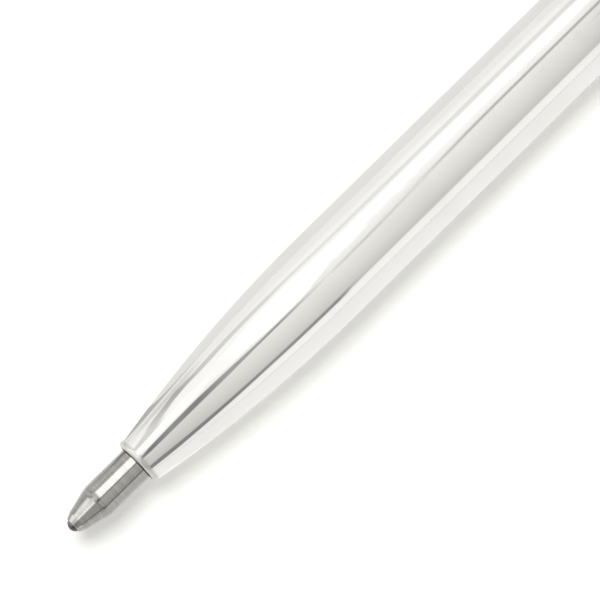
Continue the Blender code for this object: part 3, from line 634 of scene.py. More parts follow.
@dataclass(frozen=True)
class TurnedMetal:
    """Bare metal with the fine rings that a lathe tool leaves round the pen's axis.

    Behind the start of its painted shade it is dark, for the shade where the refill goes into the barrel's
    mouth; by default that start is behind the whole pen.
    """

    name: str
    colour: Colour
    dark: Colour
    roughness: Range
    dark_from: Range = (0.12, 0.42)
    rough_from: Range = (0.15, 0.45)
    ring_scale: Scale = (9000, 60, 60)
    ring_detail: float = 5
    ring_unevenness: float = 0.65
    broken_scale: Scale = (4500, 900, 900)
    broken_detail: float = 3
    patch_scale: float = 1500
    patch_detail: float = 3
    ring_depth: float = 1.2 * MICRON
    # Painted shade: dark colour on the shank where the refill goes into the barrel's mouth, with its start
    # and fade.
    painted_shade: Colour = (0.09, 0.065, 0.045)
    painted_shade_start: float = 1.0
    painted_shade_fade: float = 0.05 * MM

    def build(self) -> Material:
        """Make the material.

        Returns:
            The material.
        """
        graph = ShaderGraph(self.name)
        place = graph.place()
        rings = graph.noise(graph.place(self.ring_scale), 1, self.ring_detail, self.ring_unevenness)
        broken = graph.noise(graph.place(self.broken_scale), 1, self.broken_detail)
        both = graph.sum("MULTIPLY", rings, broken)
        tone = graph.mixed(graph.ranged(both, self.dark_from), self.dark, self.colour)
        # Painted shade: the mask is 1 behind its start, where the shank goes into the mouth.
        fade = (self.painted_shade_start, self.painted_shade_start + self.painted_shade_fade)
        edge = graph.ranged(graph.parts(place)[0], fade)
        patch = graph.noise(place, self.patch_scale, self.patch_detail)
        uneven = graph.sum("MULTIPLY", patch, rings)
        graph.relief(both, self.ring_depth)
        graph.shade(Base_Color=graph.mixed(edge, tone, self.painted_shade), Metallic=1)
        graph.shade(Roughness=graph.ranged(uneven, self.rough_from, self.roughness))
        return graph.material


@dataclass(frozen=True)
class InkedCarbide:
    """Dark polished carbide under a film of violet-black ink that lies in streaks."""

    name: str = "inked_carbide"
    bare: Colour = (0.24, 0.22, 0.23)
    inked: Colour = (0.07, 0.05, 0.065)
    bare_from: Range = (0.38, 0.66)
    roughness: Range = (0.10, 0.26)
    rough_from: Range = (0.3, 0.7)
    streak_scale: float = 2600
    streak_detail: float = 3
    metallic: float = 0.9
    coat: float = 0.4
    coat_roughness: float = 0.1

    def build(self) -> Material:
        """Make the material.

        Returns:
            The material.
        """
        graph = ShaderGraph(self.name)
        streak = graph.noise(graph.place(), self.streak_scale, self.streak_detail)
        tone = graph.mixed(graph.ranged(streak, self.bare_from), self.inked, self.bare)
        rough = graph.ranged(streak, self.rough_from, self.roughness)
        graph.shade(Base_Color=tone, Roughness=rough, Metallic=self.metallic)
        graph.shade(Coat_Weight=self.coat, Coat_Roughness=self.coat_roughness)
        return graph.material


@dataclass(frozen=True)
class Moulded:
    """Moulded, drawn or liquid matter with a soft mottle and a fine grain."""

    name: str
    colour: Colour
    mottle: Colour
    roughness: Range
    metallic: float = 0.0
    mottle_from: Range = (0.35, 0.65)
    rough_from: Range = (0.3, 0.7)
    mottle_scale: float = 900
    mottle_detail: float = 4
    grain_scale: Scale = (16000, 16000, 16000)
    grain_detail: float = 2
    grain_depth: float = 2 * MICRON

    def build(self) -> Material:
        """Make the material.

        Returns:
            The material.
        """
        graph = ShaderGraph(self.name)
        mottle = graph.noise(graph.place(), self.mottle_scale, self.mottle_detail)
        grain = graph.noise(graph.place(self.grain_scale), 1, self.grain_detail)
        tone = graph.mixed(graph.ranged(mottle, self.mottle_from), self.colour, self.mottle)
        rough = graph.ranged(grain, self.rough_from, self.roughness)
        graph.shade(Base_Color=tone, Roughness=rough, Metallic=self.metallic)
        graph.relief(grain, self.grain_depth)
        return graph.material


class Finishes:
    """All finishes of the pen, each made once."""

    LIP_LENGTH = 0.22 * MM
    # How far in front of the mouth the painted shade on the refill starts.
    PAINTED_SHADE_LENGTH = 0.09 * MM

    def __init__(self, axis: PenAxis) -> None:
        """Make the materials.

        Args:
            axis: The pen's axis, whose mouth places the matt lip with its painted shade, and the painted
                shade on the refill.
        """
        self.barrel = PolishedSilver("barrel_silver", lip=axis.mouth + self.LIP_LENGTH).build()
        self.chain = PolishedSilver("chain_silver", roughness=(0.06, 0.13), ripple_scale=900).build()
        self.clasp = PolishedSilver("clasp_silver", roughness=(0.05, 0.11), ripple_scale=700).build()
        # The refill's point is painted with shade from just in front of the mouth backwards.
        painted_shade_start = axis.mouth - self.PAINTED_SHADE_LENGTH
        nickel, dark_nickel = (0.49, 0.483, 0.468), (0.41, 0.40, 0.383)
        self.point = TurnedMetal(
            "turned_nickel", nickel, dark_nickel, (0.09, 0.17), painted_shade_start=painted_shade_start
        ).build()
        brass, dark_brass = (0.80, 0.62, 0.34), (0.70, 0.52, 0.27)
        self.brass = TurnedMetal("turned_brass", brass, dark_brass, (0.2, 0.35)).build()
        self.ball = InkedCarbide().build()
        drawn, dark_drawn = (0.72, 0.60, 0.38), (0.66, 0.53, 0.32)
        self.tube = Moulded(
            "drawn_tube", drawn, dark_drawn, (0.28, 0.4), metallic=1.0, grain_scale=(400, 9000, 9000)
        ).build()
        self.ink = Moulded("blue_black_ink", (0.02, 0.02, 0.09), (0.012, 0.012, 0.06), (0.08, 0.2)).build()
        self.acetal = Moulded("natural_acetal", (0.85, 0.84, 0.80), (0.80, 0.79, 0.74), (0.38, 0.5)).build()
        self.rubber = Moulded("black_rubber", (0.03, 0.03, 0.03), (0.05, 0.05, 0.048), (0.6, 0.8)).build()
        steel, dark_steel = (0.55, 0.55, 0.56), (0.47, 0.47, 0.48)
        self.spring = Moulded(
            "spring_steel", steel, dark_steel, (0.18, 0.3), metallic=1.0, grain_depth=0.3 * MICRON
        ).build()


class ShapeTree(NodeGraph):
    """A Geometry Nodes tree with named inputs, which ends in real mesh with a material."""

    def __init__(self, name: str, floats: Sequence[str], ints: Sequence[str] = ()) -> None:
        """Start a tree with a geometry input, the named inputs and a material.

        Args:
            name: Name of the tree.
            floats: Its inputs for lengths, angles and shares.
            ints: Its inputs for counts.
        """
        super().__init__(bpy.data.node_groups.new(name, "GeometryNodeTree"))
        kinds = {"geometry": SocketKind.GEOMETRY}
        kinds |= dict.fromkeys(floats, SocketKind.FLOAT)
        kinds |= dict.fromkeys(ints, SocketKind.INT)
        kinds["material"] = SocketKind.MATERIAL
        for label, kind in kinds.items():
            self.tree.interface.new_socket(label, in_out="INPUT", socket_type=kind.value)
        self.tree.interface.new_socket("shape", in_out="OUTPUT", socket_type=SocketKind.GEOMETRY.value)
        self.given = self.add("NodeGroupInput").outputs

    def position(self) -> Sequence[Socket]:
        """The three parts of a point's place."""
        return self.parts(self.add("GeometryNodeInputPosition").outputs[0])

    def radius(self) -> Socket:
        """Distance of a point from the X axis."""
        _, y, z = self.position()
        return self.sum("SQRT", self.sum("ADD", self.sum("MULTIPLY", y, y), self.sum("MULTIPLY", z, z)))

    def vector(self, along: Any, share: Socket) -> Socket:
        """A vector along X by a length, and from the X axis by a share of a point's distance.

        Args:
            along: Its part along X.
            share: What the other two parts of the point's place are multiplied by.

        Returns:
            The vector.
        """
        _, y, z = self.position()
        across, up = self.sum("MULTIPLY", y, share), self.sum("MULTIPLY", z, share)
        return self.add("ShaderNodeCombineXYZ", X=along, Y=across, Z=up).outputs[0]

    def wire(self, line: Socket, caps: bool) -> Socket:
        """A round wire along a line, with the tree's wire and wire_sides inputs.

        Args:
            line: The line.
            caps: Whether its ends are closed.

        Returns:
            The wire's geometry.
        """
        sides, radius = self.given["wire_sides"], self.given["wire"]
        section = self.add("GeometryNodeCurvePrimitiveCircle", Resolution=sides, Radius=radius)
        skin = self.add("GeometryNodeCurveToMesh", Curve=line, Fill_Caps=caps)
        self.put(skin.inputs["Profile Curve"], section.outputs[0])
        return skin.outputs[0]

    def end(self, geometry: Socket) -> "ShapeTree":
        """End the tree in real mesh with its material.

        Args:
            geometry: What the tree has made.

        Returns:
            The tree.
        """
        real = self.add("GeometryNodeRealizeInstances", Geometry=geometry).outputs[0]
        dressed = self.add("GeometryNodeSetMaterial", Geometry=real, Material=self.given["material"])
        self.put(self.add("NodeGroupOutput").inputs["shape"], dressed.outputs[0])
        return self

    def make(self, name: str, material: Material, start: Mesh | None = None, **values: float) -> Mesh:
        """Run the tree once and keep the result as a plain mesh.

        Args:
            name: Name of the mesh.
            material: Finish that the tree sets.
            start: Mesh that the tree works on, where it needs one.
            values: Value of each named input.

        Returns:
            The mesh that the tree makes.
        """
        holder = placed(start or bpy.data.meshes.new(name))
        modifier = holder.modifiers.new(name, "NODES")
        modifier.node_group = self.tree
        sockets = {item.name: item.identifier for item in self.tree.interface.items_tree}
        modifier[sockets["material"]] = material
        for label, value in values.items():
            modifier[sockets[label]] = value
        depsgraph = bpy.context.evaluated_depsgraph_get()
        mesh = bpy.data.meshes.new_from_object(holder.evaluated_get(depsgraph))
        mesh.name = name
        holder.modifiers.clear()
        bpy.data.objects.remove(holder)
        return mesh


def wire_loop_tree() -> ShapeTree:
    """Oval wire loop in its own XY plane, with the small swelling of its brazed joint.

    Returns:
        The tree.
    """
    lengths = ("length", "width", "wire", "joint_swell", "joint_length")
    tree = ShapeTree("wire_loop", lengths, ("bend_steps", "wire_sides"))
    given, steps = tree.given, tree.given["bend_steps"]
    outline = tree.add("GeometryNodeCurvePrimitiveQuadrilateral", Width=given["length"])
    tree.put(outline.inputs["Height"], given["width"])
    rounded = tree.add("GeometryNodeFilletCurve", {"mode": "POLY"}, Curve=outline.outputs[0], Count=steps)
    bend = tree.sum("MULTIPLY", given["width"], 0.5)
    tree.fill(rounded, {"Radius": bend, "Limit Radius": True})
    quarter_bends = 4
    count = tree.sum("MULTIPLY", steps, quarter_bends)
    even = tree.add("GeometryNodeResampleCurve", {"mode": "COUNT"}, Curve=rounded.outputs[0], Count=count)
    x, y, _ = tree.position()
    along = tree.sum("DIVIDE", x, given["joint_length"])
    lump = tree.sum("MAXIMUM", tree.sum("SUBTRACT", 1, tree.sum("MULTIPLY", along, along)), 0)
    on_side = tree.sum("MULTIPLY", lump, tree.sum("GREATER_THAN", y, 0))
    thickness = tree.sum("MULTIPLY_ADD", on_side, given["joint_swell"], 1)
    swollen = tree.add("GeometryNodeSetCurveRadius", Curve=even.outputs[0], Radius=thickness)
    return tree.end(tree.wire(swollen.outputs[0], False))


def bent_ring_tree() -> ShapeTree:
    """Round ring of bent wire in its own XY plane, with cut ends that nearly meet.

    Returns:
        The tree.
    """
    lengths = ("radius", "start_angle", "sweep_angle", "wire")
    tree = ShapeTree("bent_ring", lengths, ("bend_steps", "wire_sides"))
    given = tree.given
    line = tree.add("GeometryNodeCurveArc", Resolution=given["bend_steps"], Radius=given["radius"])
    tree.fill(line, {"Start Angle": given["start_angle"], "Sweep Angle": given["sweep_angle"]})
    return tree.end(tree.wire(line.outputs[0], True))


def coil_tree() -> ShapeTree:
    """Coil of round wire that climbs its own Z axis.

    Returns:
        The tree.
    """
    tree = ShapeTree("coil", ("turns", "radius", "height", "wire"), ("turn_steps", "wire_sides"))
    given, radius = tree.given, tree.given["radius"]
    line = tree.add("GeometryNodeCurveSpiral", Start_Radius=radius, End_Radius=radius)
    sizes = {"Resolution": "turn_steps", "Rotations": "turns", "Height": "height"}
    tree.fill(line, {label: given[name] for label, name in sizes.items()})
    return tree.end(tree.wire(line.outputs[0], True))


def drawn_nose_tree() -> ShapeTree:
    """Draws the front of a tube along X down to its mouth by a square law.

    Returns:
        The tree.
    """
    tree = ShapeTree("drawn_nose", ("nose_length", "drop"))
    x = tree.position()[0]
    along = tree.sum("DIVIDE", x, tree.given["nose_length"])
    rest = tree.sum("MAXIMUM", tree.sum("SUBTRACT", 1, along), 0)
    drop = tree.sum("MULTIPLY", tree.sum("MULTIPLY", rest, rest), tree.given["drop"])
    radius = tree.radius()
    place = tree.vector(x, tree.sum("DIVIDE", tree.sum("SUBTRACT", radius, drop), radius))
    drawn = tree.add("GeometryNodeSetPosition", Geometry=tree.given["geometry"], Position=place)
    return tree.end(drawn.outputs[0])


def turning_marks_tree() -> ShapeTree:
    """Cuts the fine uneven rings of a lathe tool into a mesh turned about X.

    Up to the smooth length, the rings have only a share of their depth, and past it they deepen.

    Returns:
        The tree.
    """
    lengths = ("marks_per_metre", "mark_detail", "depth", "seed", "smooth_length", "smooth_share", "rise")
    tree = ShapeTree("turning_marks", lengths)
    given, x = tree.given, tree.position()[0]
    along = tree.sum("MULTIPLY_ADD", x, given["marks_per_metre"], given["seed"])
    marks = tree.add("ShaderNodeTexNoise", {"noise_dimensions": "1D"}, W=along, Scale=1)
    tree.put(marks.inputs["Detail"], given["mark_detail"])
    past = tree.sum("SUBTRACT", tree.sum("DIVIDE", x, given["smooth_length"]), 1)
    share = tree.sum("MAXIMUM", tree.sum("MULTIPLY", past, given["rise"]), given["smooth_share"])
    depth = tree.sum("MULTIPLY", tree.sum("MINIMUM", share, 1), given["depth"])
    height = tree.sum("MULTIPLY", tree.sum("SUBTRACT", marks.outputs[0], 0.5), depth)
    offset = tree.vector(0, tree.sum("DIVIDE", height, tree.radius()))
    cut = tree.add("GeometryNodeSetPosition", Geometry=given["geometry"], Offset=offset)
    return tree.end(cut.outputs[0])


@dataclass
class RefillTip:
    """The writing ball and the turned holder at the front of the refill."""

    axis: PenAxis
    finishes: Finishes
    ball_radius: float = 0.50 * MM
    ball_proud: float = 0.30 * MM
    socket_play: float = 0.02 * MM
    rim_round: float = 0.06 * MM
    rim_centre: float = 0.515 * MM
    rim_turn: float = math.radians(65)
    swage_end: float = 0.72 * MM
    swage_radius: float = 0.742 * MM
    cone_end: float = 2.09 * MM
    cone_radius: float = 1.097 * MM
    shank_front: float = 2.69 * MM
    shank_end: float = 8.02 * MM
    shank_radius: float = 1.175 * MM
    spigot_end: float = 10.02 * MM
    spigot_radius: float = 0.945 * MM
    channel_radius: float = 0.30 * MM
    shown_length: float = 7.00 * MM
    mark_step: float = 0.028 * MM
    marks_per_metre: float = 13000
    mark_detail: float = 3
    mark_depth: float = 3.3 * MICRON
    cone_mark_share: float = 0.12
    mark_rise: float = 8
    seed: float = 7.3
    rim_steps: int = 6
    socket_steps: int = 12
    segments: int = 96
    ball_segments: int = 64

    def build(self) -> None:
        """Make the ball and its holder."""
        self.writing_ball()
        self.holder()

    def writing_ball(self) -> None:
        """Make the dark ball."""
        bm = bmesh.new()
        round_it, rings = self.ball_segments, self.ball_segments // 2
        bmesh.ops.create_uvsphere(bm, u_segments=round_it, v_segments=rings, radius=self.ball_radius)
        mesh = closed_mesh("inked_writing_ball", bm)
        mesh.transform(Matrix.Rotation(QUARTER, 4, "Y"))
        ball = placed(mesh, self.axis.at(self.axis.tip + self.ball_radius))
        dress(ball, self.finishes.ball, "ball", Slot.BALL, "writing_ball")

    def outline(self) -> Section:
        """Outline of the holder, from its rim back along the shank and through the channel.

        Returns:
            The outline as (station, radius) pairs.
        """
        first = (self.ball_proud + self.rim_round, self.rim_centre)
        points = arc(first, self.rim_round, math.pi, math.pi - self.rim_turn, self.rim_steps)
        knots = [points[-1], (self.swage_end, self.swage_radius), (self.cone_end, self.cone_radius)]
        for near, far in zip(knots, knots[1:]):
            points += self.fine(near, far)
        blend = self.shank_front - self.cone_end
        steps = math.ceil(blend / self.mark_step)
        for i in range(1, steps + 1):
            share = i / steps
            rise = (self.shank_radius - self.cone_radius) * (1 - (1 - share) ** 2)
            points.append((self.cone_end + blend * share, self.cone_radius + rise))
        points += self.fine(points[-1], (self.shown_length, self.shank_radius))
        points += [(self.shank_end, self.shank_radius), (self.shank_end, self.spigot_radius)]
        points += [(self.spigot_end, self.spigot_radius), (self.spigot_end, self.channel_radius)]
        socket = self.ball_radius + self.socket_play
        seat = math.asin(self.channel_radius / socket)
        rim = math.pi - math.acos((self.ball_radius - self.ball_proud) / socket)
        return points + arc((self.ball_radius, 0), socket, seat, rim, self.socket_steps)

    def fine(self, near: Point, far: Point) -> Section:
        """Points close enough together for the marks, up to and with the far end."""
        return stretch(near, far, math.ceil((far[0] - near[0]) / self.mark_step))

    def holder(self) -> None:
        """Make the turned holder with its marks."""
        blank = turned("turned_refill_point", self.outline(), self.segments)
        mesh = turning_marks_tree().make(
            blank.name,
            self.finishes.point,
            blank,
            marks_per_metre=self.marks_per_metre,
            mark_detail=self.mark_detail,
            depth=self.mark_depth,
            seed=self.seed,
            smooth_length=self.cone_end,
            smooth_share=self.cone_mark_share,
            rise=self.mark_rise,
        )
        holder = placed(mesh, self.axis.at(self.axis.tip))
        dress(holder, self.finishes.point, "refill", Slot.STEEL, "refill_point")


@dataclass
class FrontHalf:
    """The drawn front barrel and the ring between the two halves."""

    axis: PenAxis
    finishes: Finishes
    nose_length: float = 16.77 * MM
    mouth_radius: float = 1.32 * MM
    lip_radius: float = 1.58 * MM
    lip_round: float = 0.22 * MM
    mouth_round: float = 0.035 * MM
    mouth_length: float = 2.50 * MM
    nose_wall: float = 0.70 * MM
    bore_radius: float = 2.71 * MM
    end_edge: float = 0.05 * MM
    ring_bore: float = 2.45 * MM
    ring_edge: float = 0.12 * MM
    mouth_steps: int = 5
    lip_steps: int = 14
    nose_steps: int = 96
    bore_steps: int = 8
    throat_steps: int = 6
    ring_steps: int = 8
    segments: int = 176

    def build(self) -> None:
        """Make the barrel and the ring."""
        self.barrel()
        self.ring()

    @property
    def drop(self) -> float:
        """How far the tube is drawn in at its mouth."""
        return self.axis.radius - self.lip_radius

    def drawn_in(self, station: float) -> float:
        """How far the tube is drawn in at a station from its mouth."""
        return self.drop * ((self.nose_length - station) / self.nose_length) ** 2

    def blank_outline(self) -> Section:
        """Outline of the straight tube before its nose is drawn.

        Returns:
            The outline as (station, radius) pairs.
        """
        radius = self.axis.radius
        length = self.axis.front_end - self.axis.mouth
        inner = (self.mouth_round, self.mouth_radius + self.drop + self.mouth_round)
        outer = (self.lip_round, radius - self.lip_round)
        points = arc(inner, self.mouth_round, -QUARTER, -math.pi, self.mouth_steps)
        points += arc(outer, self.lip_round, math.pi, QUARTER, self.lip_steps)
        points += stretch((self.lip_round, radius), (self.nose_length, radius), self.nose_steps)
        points += [(length - self.end_edge, radius), (length, radius - self.end_edge)]
        bore = (self.nose_length, self.bore_radius)
        middle = ((self.mouth_length + self.nose_length) / 2, radius - self.nose_wall)
        throat = (self.mouth_length, self.mouth_radius + self.drawn_in(self.mouth_length))
        points += [(length, self.bore_radius), bore]
        points += stretch(bore, middle, self.bore_steps) + stretch(middle, throat, self.bore_steps)
        return points + stretch(throat, points[0], self.throat_steps)[:-1]

    def barrel(self) -> None:
        """Make the barrel: a straight tube whose nose is drawn by the tree."""
        blank = turned("drawn_front_barrel", self.blank_outline(), self.segments)
        silver, tree = self.finishes.barrel, drawn_nose_tree()
        mesh = tree.make(blank.name, silver, blank, nose_length=self.nose_length, drop=self.drop)
        barrel = placed(mesh, self.axis.at(self.axis.mouth))
        dress(barrel, silver, "front_half", Slot.SILVER, "front_barrel")

    def ring(self) -> None:
        """Make the ring between the halves."""
        width = self.axis.ring_end - self.axis.ring_front
        radius = self.axis.radius
        corners = [
            (0, self.ring_bore, 0),
            (0, radius, self.ring_edge),
            (width, radius, self.ring_edge),
            (width, self.ring_bore, 0),
        ]
        mesh = turned("polished_centre_ring", eased(corners, self.ring_steps), self.segments)
        ring = placed(mesh, self.axis.at(self.axis.ring_front))
        dress(ring, self.finishes.barrel, "front_half", Slot.SILVER, "centre_ring")


@dataclass(frozen=True)
class Wire:
    """The wire of all loops and rings, and the tree that makes its loops."""

    radius: float = 0.45 * MM
    play: float = 0.12 * MM
    sides: int = 28
    bend_steps: int = 26
    joint_swell: float = 0.07
    joint_length: float = 0.55 * MM
    tree: ShapeTree = field(default_factory=wire_loop_tree)

    @property
    def crossing(self) -> float:
        """Distance between the middles of two wires that hang in each other."""
        return 2 * self.radius + self.play

    def middle(self, length: float) -> float:
        """How far a loop's middle is from the wire that it swings on."""
        return length / 2 - self.radius - self.crossing

    def loop(self, name: str, material: Material, length: float, width: float) -> Mesh:
        """An oval loop round its own middle.

        Args:
            name: Name of the mesh.
            material: Its finish.
            length: Outer length.
            width: Outer width.

        Returns:
            The mesh.
        """
        return self.tree.make(
            name,
            material,
            length=length - 2 * self.radius,
            width=width - 2 * self.radius,
            wire=self.radius,
            bend_steps=self.bend_steps,
            wire_sides=self.sides,
            joint_swell=self.joint_swell,
            joint_length=self.joint_length,
        )


@dataclass
class RearHalf:
    """The rear barrel, which is turned by hand, and its domed cap with the wire loop."""

    axis: PenAxis
    finishes: Finishes
    wire: Wire
    bore_radius: float = 2.71 * MM
    wall: float = 0.40 * MM
    front_edge: float = 0.12 * MM
    end_edge: float = 0.06 * MM
    taper_length: float = 13.00 * MM
    taper_drop: float = 0.36 * MM
    wide_bore_length: float = 18.85 * MM
    spigot_length: float = 3.20 * MM
    spigot_wall: float = 0.60 * MM
    cap_band: float = 0.80 * MM
    cap_edge: float = 0.10 * MM
    dome_length: float = 2.60 * MM
    neck_radius: float = 0.80 * MM
    neck_length: float = 0.60 * MM
    neck_fillet: float = 0.42 * MM
    loop_length: float = 4.60 * MM
    loop_width: float = 4.20 * MM
    loop_roll: float = math.radians(-45)
    edge_steps: int = 8
    taper_steps: int = 40
    dome_steps: int = 36
    fillet_steps: int = 8
    segments: int = 176

    def build(self) -> None:
        """Make the barrel and the cap."""
        self.barrel()
        self.cap()

    @property
    def end_radius(self) -> float:
        """Outer radius at the rear end."""
        return self.axis.radius - self.taper_drop

    def barrel(self) -> None:
        """Make the tapered tube."""
        length = self.axis.rear_end - self.axis.rear_front
        radius = self.axis.radius
        edge = (self.front_edge, radius - self.front_edge)
        points = [(0, self.bore_radius)]
        points += arc(edge, self.front_edge, math.pi, QUARTER, self.edge_steps)
        start = length - self.taper_length
        for i in range(self.taper_steps + 1):
            share = i / self.taper_steps
            reach = self.taper_length - (self.end_edge if share == 1 else 0)
            points.append((start + reach * share, radius - self.taper_drop * share * share))
        points.append((length, self.end_radius - self.end_edge))
        bore = self.end_radius - self.wall
        inner_end = length - self.spigot_length - self.spigot_wall
        points += [(length, bore), (inner_end, bore), (self.wide_bore_length, self.bore_radius)]
        mesh = turned("tapered_rear_barrel", points, self.segments)
        barrel = placed(mesh, self.axis.at(self.axis.rear_front))
        dress(barrel, self.finishes.barrel, "rear_half", Slot.SILVER, "rear_barrel")

    def cap_outline(self) -> Section:
        """Outline of the cap: spigot, band, dome and a neck with a hollow fillet.

        Returns:
            The outline as (station, radius) pairs, with the rear barrel's end at zero.
        """
        spigot = self.end_radius - self.wall - SEAT_GAP
        last = math.acos(self.neck_radius / self.end_radius)
        reach = self.dome_length / math.sin(last)
        corners = [
            (0, 0, 0),
            (0, spigot - self.spigot_wall, 0),
            (-self.spigot_length, spigot - self.spigot_wall, 0),
            (-self.spigot_length, spigot, self.cap_edge),
            (0, spigot, 0),
            (0, self.end_radius, self.cap_edge),
        ]
        points = eased(corners)
        fillet_start = self.cap_band + self.dome_length - self.neck_fillet
        for i in range(self.dome_steps + 1):
            angle = last * i / self.dome_steps
            station = self.cap_band + reach * math.sin(angle)
            if station > fillet_start:
                break
            points.append((station, self.end_radius * math.cos(angle)))
        corner = Vector((self.cap_band + self.dome_length, self.neck_radius))
        end = Vector((corner.x + self.neck_fillet, self.neck_radius))
        points += bent(Vector(points[-1]), corner, end, self.fillet_steps)[1:]
        neck_end = self.cap_band + self.dome_length + self.neck_length + self.wire.radius
        return points + [(neck_end, self.neck_radius), (neck_end, 0)]

    def cap(self) -> None:
        """Make the cap and braze its loop to the neck."""
        mesh = turned("domed_end_cap", self.cap_outline(), self.segments)
        cap = placed(mesh, self.axis.at(self.axis.cap_inner + self.spigot_length))
        silver = self.finishes.barrel
        loop = self.wire.loop("cap_loop", silver, self.loop_length, self.loop_width)
        rise = self.spigot_length + self.cap_band + self.dome_length + self.neck_length
        middle = self.axis.cap_inner + rise + self.loop_length / 2
        loop.transform(self.axis.at(middle, self.loop_roll))
        shape(cap, loop, Join.ADD)
        dress(cap, silver, "rear_half", Slot.SILVER, "end_cap")


@dataclass
class LinkChain:
    """The jump ring, the oval links and the clasp ring."""

    finishes: Finishes
    wire: Wire
    link_length: float = 7.40 * MM
    link_width: float = 4.00 * MM
    ring_diameter: float = 4.80 * MM
    ring_slit: float = 0.08 * MM
    ring_steps: int = 96
    rings: ShapeTree = field(default_factory=bent_ring_tree)

    def build(self) -> None:
        """Make each member between its own joint and the next one."""
        joints = frame["record"]["behaviour"]["joints"]
        swings = [joint for joint in joints if joint["name"].endswith("_swing")]
        for joint, following in zip(swings, swings[1:]):
            body = joint["name"].removesuffix("_swing")
            origin, onward = Vector(joint["pos_m"]), Vector(following["pos_m"])
            place = frame_between(origin, onward, Vector(joint["axis"]))
            if body.startswith("link"):
                self.hang(self.link(body), self.link_length, place, body, f"chain_{body}")
            else:
                self.hang(self.ring(body), self.ring_diameter, place, body, body)

    def hang(self, mesh: Mesh, length: float, place: Matrix, body: str, node: str) -> None:
        """Hang a member of a length from the wire that it swings on, and dress it."""
        item = placed(mesh, place @ Matrix.Translation((self.wire.middle(length), 0, 0)))
        dress(item, self.finishes.chain, body, Slot.SILVER, node)

    def link(self, body: str) -> Mesh:
        """One brazed link round its own middle."""
        name = f"brazed_{body}"
        return self.wire.loop(name, self.finishes.chain, self.link_length, self.link_width)

    def ring(self, body: str) -> Mesh:
        """One bent ring with its slit, round its own middle.

        Args:
            body: Its body.

        Returns:
            The mesh.
        """
        radius = self.ring_diameter / 2 - self.wire.radius
        half_slit = self.ring_slit / radius / 2
        return self.rings.make(
            f"bent_{body}",
            self.finishes.chain,
            radius=radius,
            start_angle=QUARTER + half_slit,
            sweep_angle=math.tau - 2 * half_slit,
            bend_steps=self.ring_steps,
            wire=self.wire.radius,
            wire_sides=self.wire.sides,
        )


@dataclass(frozen=True)
class HookForm:
    """The oval of the hook and the bars that follow it."""

    neck_length: float = 2.60 * MM
    half_length: float = 3.90 * MM
    half_width: float = 3.10 * MM
    half_bar: float = 0.65 * MM
    edge: float = 0.42 * MM
    edge_limit: float = 0.9
    half_height: float = 1.546 * MM
    root_swell: float = 0.25
    tip_width: float = 0.80
    tip_height: float = 0.66
    start: float = math.radians(134)
    root_start: float = math.radians(200)
    root_end: float = math.radians(255)
    taper_start: float = math.radians(335)
    end: float = math.radians(415)
    end_lean: float = math.radians(84)
    pivot_angle: float = math.radians(140)
    edge_steps: int = 7
    steps: int = 112
    end_steps: int = 10

    @property
    def centre(self) -> float:
        """Distance of the oval's middle from the clasp's own origin."""
        return self.neck_length + self.half_length

    @property
    def pivot(self) -> Vector:
        """The lever's pivot."""
        return self.point(self.pivot_angle)

    def point(self, angle: float, offset: float = 0.0) -> Vector:
        """A point on the oval.

        Args:
            angle: Where on the oval it is, in radians.
            offset: How far it is moved outwards.

        Returns:
            The point.
        """
        x = self.half_length * math.cos(angle)
        y = self.half_width * math.sin(angle)
        square = Vector((math.cos(angle) / self.half_length, math.sin(angle) / self.half_width))
        outward = square.normalized()
        return Vector((self.centre + x + outward.x * offset, y + outward.y * offset))

    def bar_ring(
        self, angle: float, offset: float, half_width: float, half_height: float, edge: float
    ) -> list[Corner]:
        """Section of a bar with rounded edges, stood across the oval.

        Args:
            angle: Where on the oval it stands.
            offset: How far it is moved outwards.
            half_width: Half its width, in the plane of the hook.
            half_height: Half its height.
            edge: Radius of its edges.

        Returns:
            Its points.
        """
        radius = min(edge, half_width * self.edge_limit)
        ring = []
        for quarter, (side, level) in enumerate(((1, 1), (-1, 1), (-1, -1), (1, -1))):
            centre = (side * (half_width - radius), level * (half_height - radius))
            turn = quarter * QUARTER
            for across, height in arc(centre, radius, turn, turn + QUARTER, self.edge_steps):
                ring.append((*self.point(angle, offset + across), height))
        return ring

    def bar(self, angle: float) -> Point:
        """Size of the hook's bar, which swells at its root and thins to its tip.

        Args:
            angle: Where on the oval it is.

        Returns:
            Its half width and half height.
        """
        root = 1 - ease((angle - self.root_start) / (self.root_end - self.root_start))
        drawn = ease((angle - self.taper_start) / (self.end - self.taper_start))
        half_width = self.half_bar * (1 + self.root_swell * root - (1 - self.tip_width) * drawn)
        return half_width, self.half_height * (1 - (1 - self.tip_height) * drawn)

    def rounded_end(self, angle: float, direction: int) -> list[list[Corner]]:
        """Rings that carry the hook on past an angle to a rounded end.

        Args:
            angle: Where the end starts.
            direction: 1 for an end that goes on, -1 for one that goes back.

        Returns:
            The rings, from the start of the end to its last.
        """
        half_width, half_height = self.bar(angle)
        along = math.hypot(self.half_length * math.cos(angle), self.half_width * math.sin(angle))
        rings = []
        for i in range(1, self.end_steps + 1):
            lean = self.end_lean * i / self.end_steps
            loss = half_width * (1 - math.cos(lean))
            past = angle + direction * half_width * math.sin(lean) / along
            rings.append(self.bar_ring(past, 0, half_width - loss, half_height - loss, self.edge))
        return rings

    def rings(self) -> list[list[Corner]]:
        """All rings of the hook, from its cheeks round to its tip.

        Returns:
            The rings in order.
        """
        rings = self.rounded_end(self.start, -1)[::-1]
        for i in range(self.steps + 1):
            angle = self.start + (self.end - self.start) * i / self.steps
            rings.append(self.bar_ring(angle, 0, *self.bar(angle), self.edge))
        return rings + self.rounded_end(self.end, 1)


